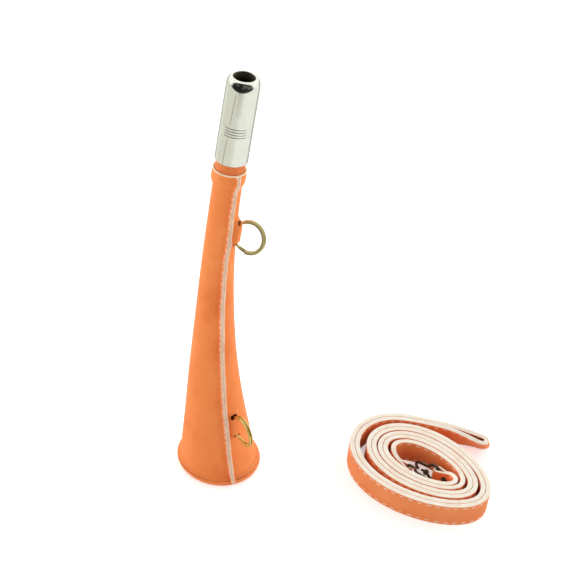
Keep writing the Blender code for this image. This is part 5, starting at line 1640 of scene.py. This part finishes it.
    def points(self) -> np.ndarray:
        """Return the route from the outer strand's inner end round to the other end."""
        half = self.spacing / 2.0
        outer_lead, inner_lead, hairpin = [], [], []
        for share in np.arange(1, self.lead_points + 1) / self.lead_points:
            middle, out = self.lead_point(share)
            spread = half + (self.hairpin_radius - half) * smooth_step(2.0 * share - 1.0)
            outer_lead.append(middle + out * spread)
            inner_lead.append(middle - out * spread)
        middle, out = self.lead_point(1.0)
        for angle in np.arange(1, self.hairpin_points) * math.pi / self.hairpin_points:
            around = out * math.cos(angle) + right_of(out) * math.sin(angle)
            hairpin.append(middle + around * self.hairpin_radius)
        outer, inner = (self.strand(*strand) for strand in self.strands)
        return np.array(outer[::-1] + outer_lead + hairpin + inner_lead[::-1] + inner) + BELL_CENTRE[:2]


def spline_through(points: np.ndarray, step: float) -> Row:
    """Draw a smooth curve through points.

    Args:
        points: The points in order.
        step: The distance between the curve's own points.

    Returns:
        The curve's points and its unit directions of travel.
    """
    knots = travelled(points)
    gaps = np.diff(knots)
    count = len(points)
    system = np.zeros((count, count))
    right = np.zeros(points.shape)
    system[0, 0] = system[-1, -1] = 1.0
    slopes = np.diff(points, axis=0) / gaps[:, None]
    for k in range(1, count - 1):
        system[k, k - 1:k + 2] = gaps[k - 1], 2.0 * (gaps[k - 1] + gaps[k]), gaps[k]
        right[k] = 6.0 * (slopes[k] - slopes[k - 1])
    bend = np.linalg.solve(system, right)
    at = np.linspace(0.0, knots[-1], max(2, round(knots[-1] / step)) + 1)
    k = np.clip(np.searchsorted(knots, at, side="right") - 1, 0, count - 2)
    gap, past = gaps[k][:, None], (at - knots[k])[:, None]
    left = gap - past
    curve = (bend[k] * left ** 3 + bend[k + 1] * past ** 3) / (6.0 * gap)
    curve += (points[k] / gap - bend[k] * gap / 6.0) * left
    curve += (points[k + 1] / gap - bend[k + 1] * gap / 6.0) * past
    return curve, unit(np.gradient(curve, axis=0))


@dataclass(frozen=True)
class CarryingStrap:
    """The sewn strap: one leather band on each face, folded round a hook's bar at each end."""

    route: StrapRoute = StrapRoute()
    width: float = 14.0 * MM
    end_width: float = 8.0 * MM
    end_taper: float = 12.0 * MM
    layer: float = 1.29 * MM
    bar_from_end: float = 1.99 * MM
    fold_radius: float = 1.86 * MM
    fold_from: float = 4.3 * MM
    fold_points: int = 19
    sample: float = 1.3 * MM
    corners: Pair = (0.16 * MM, 0.03 * MM)
    corner_ease: float = 0.35
    # A face's swell: just past the corner, at the stitches, past them and in the middle
    past_corner: Pair = (0.5 * MM, 0.03 * MM)
    at_stitches: float = -0.03 * MM
    past_stitches: Pair = (1.1 * MM, 0.04 * MM)
    in_middle: float = 0.05 * MM
    edge_wear: float = 0.9
    sharp: float = 34.0 * DEG
    stitch_inset: float = 1.55 * MM
    stitch_sunk: float = 0.05 * MM
    stitched_from: float = 6.2 * MM
    stitch_sample: float = 1.0 * MM
    stitch: StitchRows = StitchRows(5.0 * MM, 3.3 * MM, 0.52 * MM, 0.4 * MM, slant=3.0 * DEG, seed=11)

    def middle_line(self, step: float) -> tuple[np.ndarray, ...]:
        """Follow the strap's middle from end to end.

        Args:
            step: The distance between its points.

        Returns:
            Its points and the directions to its right, then at each point the distance from the
            nearer end, half the strap's width and how far it leans.
        """
        curve, travel = spline_through(self.route.points(), step)
        along = travelled(curve)
        from_end = np.minimum(along, along[-1] - along)
        ease = smooth_step(from_end / self.end_taper)
        half = (self.end_width + (self.width - self.end_width) * ease) / 2.0
        return curve, right_of(travel), from_end, half, self.route.lean_share(curve, along)

    def fold(self, last: np.ndarray, before: np.ndarray) -> np.ndarray:
        """Return the points of the layer's fold round a hook's bar, from its right to its left.

        Args:
            last: The route's last point at this end.
            before: The point before it.

        Returns:
            The fold's points, level with the floor.
        """
        offset = (self.route.thickness - self.layer) / 2.0
        distance = math.hypot(self.fold_from, offset)
        touch = math.pi - math.atan2(offset, self.fold_from) - math.acos(self.fold_radius / distance)
        turned = np.linspace(touch, -touch, self.fold_points)[:, None]
        onward = unit(last - before)
        bar = last + onward * self.bar_from_end
        return bar + self.fold_radius * (onward * np.cos(turned) + right_of(onward) * np.sin(turned))

    def layer_path(self) -> tuple[np.ndarray, np.ndarray, np.ndarray, np.ndarray]:
        """Return the leather layer's closed path, its half widths, its middles and its lean."""
        route = self.route.points()
        curve, right, from_end, half, share = self.middle_line(self.sample)
        kept = from_end > self.fold_from - self.bar_from_end
        offset = right * (self.route.thickness - self.layer) / 2.0
        folds = (self.fold(route[-1], route[-2]), self.fold(route[0], route[1]))
        tight, flat = np.full(self.fold_points, self.end_width / 2.0), np.zeros(self.fold_points)

        def closed(there: np.ndarray, back: np.ndarray, last: np.ndarray, first: np.ndarray) -> np.ndarray:
            """Return values there, round the last fold, back and round the first fold."""
            return np.concatenate([there[kept], last, back[kept][::-1], first])

        path = raised(closed(curve + offset, curve - offset, *folds))
        middles, halves = closed(curve, curve, *folds), closed(half, half, tight, tight)
        return path, halves, middles, closed(share, share, flat, flat)

    def section(self) -> np.ndarray:
        """Return the layer's section, up its outer face and down its inner one.

        Returns:
            For each point its distance across the layer, its edge (-1 lower, 0 neither, 1 upper)
            and its height above that edge.
        """
        thick, inset = self.layer / 2.0, self.stitch_inset
        profile = []
        for sign, corner in zip((1.0, -1.0), self.corners):
            ease = corner * self.corner_ease
            lower = [
                (-corner, 0.0), (-ease, ease), (0.0, corner),
                (self.past_corner[1], corner + self.past_corner[0]), (self.at_stitches, inset),
                (self.past_stitches[1], inset + self.past_stitches[0]),
            ]
            side = [(thick + swell, -1.0, height) for swell, height in lower]
            side += [(thick + self.in_middle, 0.0, 0.0)]
            side += [(thick + swell, 1.0, -height) for swell, height in lower[::-1]]
            profile += [(sign * across, edge, height) for across, edge, height in side[::int(sign)]]
        return np.array(profile)

    def band(self) -> bpy.types.Mesh:
        """Build the leather layer, its dyed faces and its pale cut edges."""
        path, halves, middles, shares = self.layer_path()
        travel = np.roll(path, -1, axis=0) - np.roll(path, 1, axis=0)
        right = raised(right_of(unit(travel)))
        across, edge, level = self.section().T
        height = edge * halves[:, None] + level + self.width / 2.0
        rows = path[:, None, :] + right[:, None, :] * across[None, :, None] + UP * height[..., None]
        rows = self.route.leaned(rows, middles, shares)
        columns = len(across)
        within = np.arange(columns) % (columns // 2)
        numbers = (within < 2) | (within >= columns // 2 - 3)
        wear = self.edge_wear * ((within == 2) | (within == columns // 2 - 3))
        return skin("strap_layer", rows, numbers[None, :], sharp=self.sharp, values={"wear": wear[None, :]})

    def stitch_paths(self) -> list[Row]:
        """Return the stitch rows on both faces, near both edges."""
        curve, right, from_end, half, share = self.middle_line(self.stitch_sample)
        kept = from_end > self.stitched_from
        paths = []
        for face in (1.0, -1.0):
            out = right * face
            side = curve + out * (self.route.thickness / 2.0 - self.stitch_sunk)
            for edge in (1.0, -1.0):
                points = raised(side, self.width / 2.0 + edge * (half - self.stitch_inset))
                pair = self.route.leaned(np.stack([points, points + raised(out) * MM], axis=1), curve, share)
                paths.append((pair[kept, 0], unit(pair[kept, 1] - pair[kept, 0])))
        return paths

    def make(self, workshop: Workshop) -> None:
        """Make the strap, its stitches and the fittings at its ends."""
        finishes = (STRAP_LEATHER, STRAP_EDGE)
        workshop.piece("carrying_strap_sewn", self.band(), finishes, Body.HORN, ["strap_band"])
        thread = self.stitch.lay("strap_stitches", self.stitch_paths(), workshop.material(STRAP_THREAD))
        workshop.piece("strap_stitches", thread, [STRAP_THREAD], Body.HORN)
        for node in ("hook", "gate", "gate_pin", "strap_rivet"):
            for label in ("a", "b"):
                workshop.dress(f"{node}_{label}", HOOK_METAL)


@dataclass(frozen=True)
class Studio:
    """The floor, the light and the camera."""

    floor_size: float = 12.0
    floor_tone: Colour = tone("f6f6f6")
    floor_roughness: float = 0.9
    floor_lift: float = 0.5
    mirrored_lift: float = 0.31
    # The floor as metal mirrors it, with painted shade: its tones to the sides, shaded, at the back and in
    # front
    paper_side: Colour = tone("e6e6e4")
    paper_shade: Colour = tone("cfcec6")
    paper_back: Colour = tone("a6a79f")
    shade_side: Triple = (-0.82, -0.57, 0.0)
    shade_steps: Pair = (0.1, 0.85)
    back_side: Triple = (0.0, 1.0, 0.0)
    back_steps: Pair = (0.5, 0.85)
    front_side: Triple = (0.0, -1.0, 0.0)
    front_steps: Pair = (0.52, 0.62)
    # The surrounding light: how much of it the front and the top take away
    light: float = 2.34
    dim_side: Triple = (0.1, -0.875, 0.46)
    dim_steps: Pair = (0.36, 0.96)
    front_dim: float = 0.755
    top_steps: Pair = (0.4, 1.0)
    top_dim: float = 0.97
    # The cloudy, dark room in front, which only metal mirrors
    glossy_light: float = 1.15
    room_dark: float = 0.015
    room_light: float = 0.12
    room_clouds: float = 1.6
    room_steps: Pair = (0.42, 0.66)
    room_edge: Pair = (0.12, 0.42)
    focal_pixels: float = 1700.0
    picture_pixels: float = 580.0
    sensor: float = 36.0
    clip: Pair = (0.05, 30.0)
    pitch: float = 39.12 * DEG
    roll: float = 8.0 * DEG
    eye: Triple = (-0.038545, -0.677127, 0.6704)

    def floor_paper(self) -> bpy.types.Material:
        """Make the floor's paper, white to the camera, with painted shade in the tones that metal mirrors."""
        material, wiring, place = new_material("floor_paper")
        ray = wiring.add("ShaderNodeLightPath").outputs
        apart = wiring.vector("SUBTRACT", {0: place, 1: BELL_CENTRE.tolist()})
        away = wiring.vector("NORMALIZE", {0: apart})
        shade = wiring.spread(wiring.towards(away, self.shade_side), *self.shade_steps)
        back = wiring.spread(wiring.towards(away, self.back_side), *self.back_steps)
        front = wiring.spread(wiring.towards(apart, self.front_side), *self.front_steps)
        shaded = wiring.blend(back, wiring.blend(shade, self.paper_side, self.paper_shade), self.paper_back)
        mirrored = wiring.blend(front, shaded, (self.room_dark, self.room_dark, self.room_dark, 1.0))
        paper = wiring.blend(ray["Is Glossy Ray"], self.floor_tone, mirrored)
        seen = wiring.math("MAXIMUM", ray["Is Camera Ray"], ray["Is Transmission Ray"])
        lifted = wiring.math("MULTIPLY", seen, self.floor_lift)
        strength = wiring.math("MULTIPLY_ADD", ray["Is Glossy Ray"], self.mirrored_lift, lifted)
        nodes = material.node_tree.nodes
        shader = nodes["Principled BSDF"]
        wiring.feed(shader, {
            "Base Color": paper, "Roughness": self.floor_roughness, "Specular IOR Level": 0.0,
        })
        lift = wiring.add("ShaderNodeEmission", {"Color": paper, "Strength": strength})
        both = wiring.add("ShaderNodeAddShader", {0: shader.outputs[0], 1: lift.outputs[0]})
        wiring.feed(nodes["Material Output"], {"Surface": both.outputs[0]})
        return material

    def make_floor(self) -> None:
        """Make the pale floor, which keeps the object's shadow."""
        half = self.floor_size / 2.0
        mesh = bpy.data.meshes.new("floor")
        corners = [(-half, -half, 0.0), (half, -half, 0.0), (half, half, 0.0), (-half, half, 0.0)]
        mesh.from_pydata(corners, [], [(0, 1, 2, 3)])
        mesh.materials.append(self.floor_paper())
        floor = put("floor", mesh)

    def make_light(self) -> None:
        """Make the soft surrounding light, dimmer from the front."""
        world = bpy.data.worlds.new("studio")
        world.use_nodes = True
        bpy.context.scene.world = world
        wiring = Wiring(world.node_tree)
        ray = wiring.add("ShaderNodeLightPath").outputs
        aim = wiring.add("ShaderNodeTexCoord").outputs["Generated"]
        height = wiring.add("ShaderNodeSeparateXYZ", {0: aim}).outputs["Z"]
        front_light = self.light * (1.0 - self.front_dim)
        sides = wiring.spread(wiring.towards(aim, self.dim_side), *self.dim_steps, (self.light, front_light))
        top = wiring.spread(height, *self.top_steps, (1.0, 1.0 - self.top_dim))
        dimmed = wiring.math("MULTIPLY", sides, top)
        clouds = wiring.noise(aim, self.room_clouds, 1.0)
        room = wiring.spread(clouds, *self.room_steps, (self.room_dark, self.room_light))
        outside = wiring.spread(wiring.towards(aim, self.front_side), *self.room_edge, (1.0, 0.0))
        mirrored = wiring.mix(outside, room, self.glossy_light)
        mixed = wiring.mix(ray["Is Glossy Ray"], dimmed, mirrored)
        wiring.feed(world.node_tree.nodes["Background"], {
            "Color": (1.0, 1.0, 1.0, 1.0), "Strength": wiring.math("MAXIMUM", ray["Is Camera Ray"], mixed),
        })

    def make_camera(self) -> None:
        """Make the camera that sees the set as the photograph does."""
        data = bpy.data.cameras.new("camera")
        data.sensor_width = self.sensor
        data.lens = self.focal_pixels / self.picture_pixels * self.sensor
        data.clip_start, data.clip_end = self.clip
        ahead = np.array([0.0, math.cos(self.pitch), -math.sin(self.pitch)])
        down = np.cross(ahead, RIGHT)
        right = math.cos(self.roll) * RIGHT - math.sin(self.roll) * down
        lower = math.sin(self.roll) * RIGHT + math.cos(self.roll) * down
        camera = put("camera", data)
        turn = Matrix((right, -lower, -ahead)).transposed().to_4x4()
        camera.matrix_world = Matrix.Translation(self.eye) @ turn
        bpy.context.scene.camera = camera

    def make(self) -> None:
        """Make the camera, the floor and the light."""
        self.make_camera()
        self.make_floor()
        self.make_light()
        bpy.context.scene.view_settings.view_transform = "Standard"


def main() -> None:
    """Build the studio, then the horn's parts in order."""
    logging.basicConfig(level=logging.INFO, format="%(message)s")
    workshop = Workshop()
    Studio().make()
    LeatherCover().make(workshop)
    NeckStrip().make(workshop)
    Mouthpiece().make(workshop)
    SplitRing("upper_ring", UPPER_SEAT, Body.UPPER_RING, RING_BRASS).make(workshop)
    SplitRing("lower_ring", LOWER_SEAT, Body.LOWER_RING, GOLD_BRASS).make(workshop)
    CarryingStrap().make(workshop)
    for node in ("bell_tube", "rim_wire", "neck_socket"):
        workshop.dress(node, TUBE_BRASS)


if __name__ == "__main__":
    main()
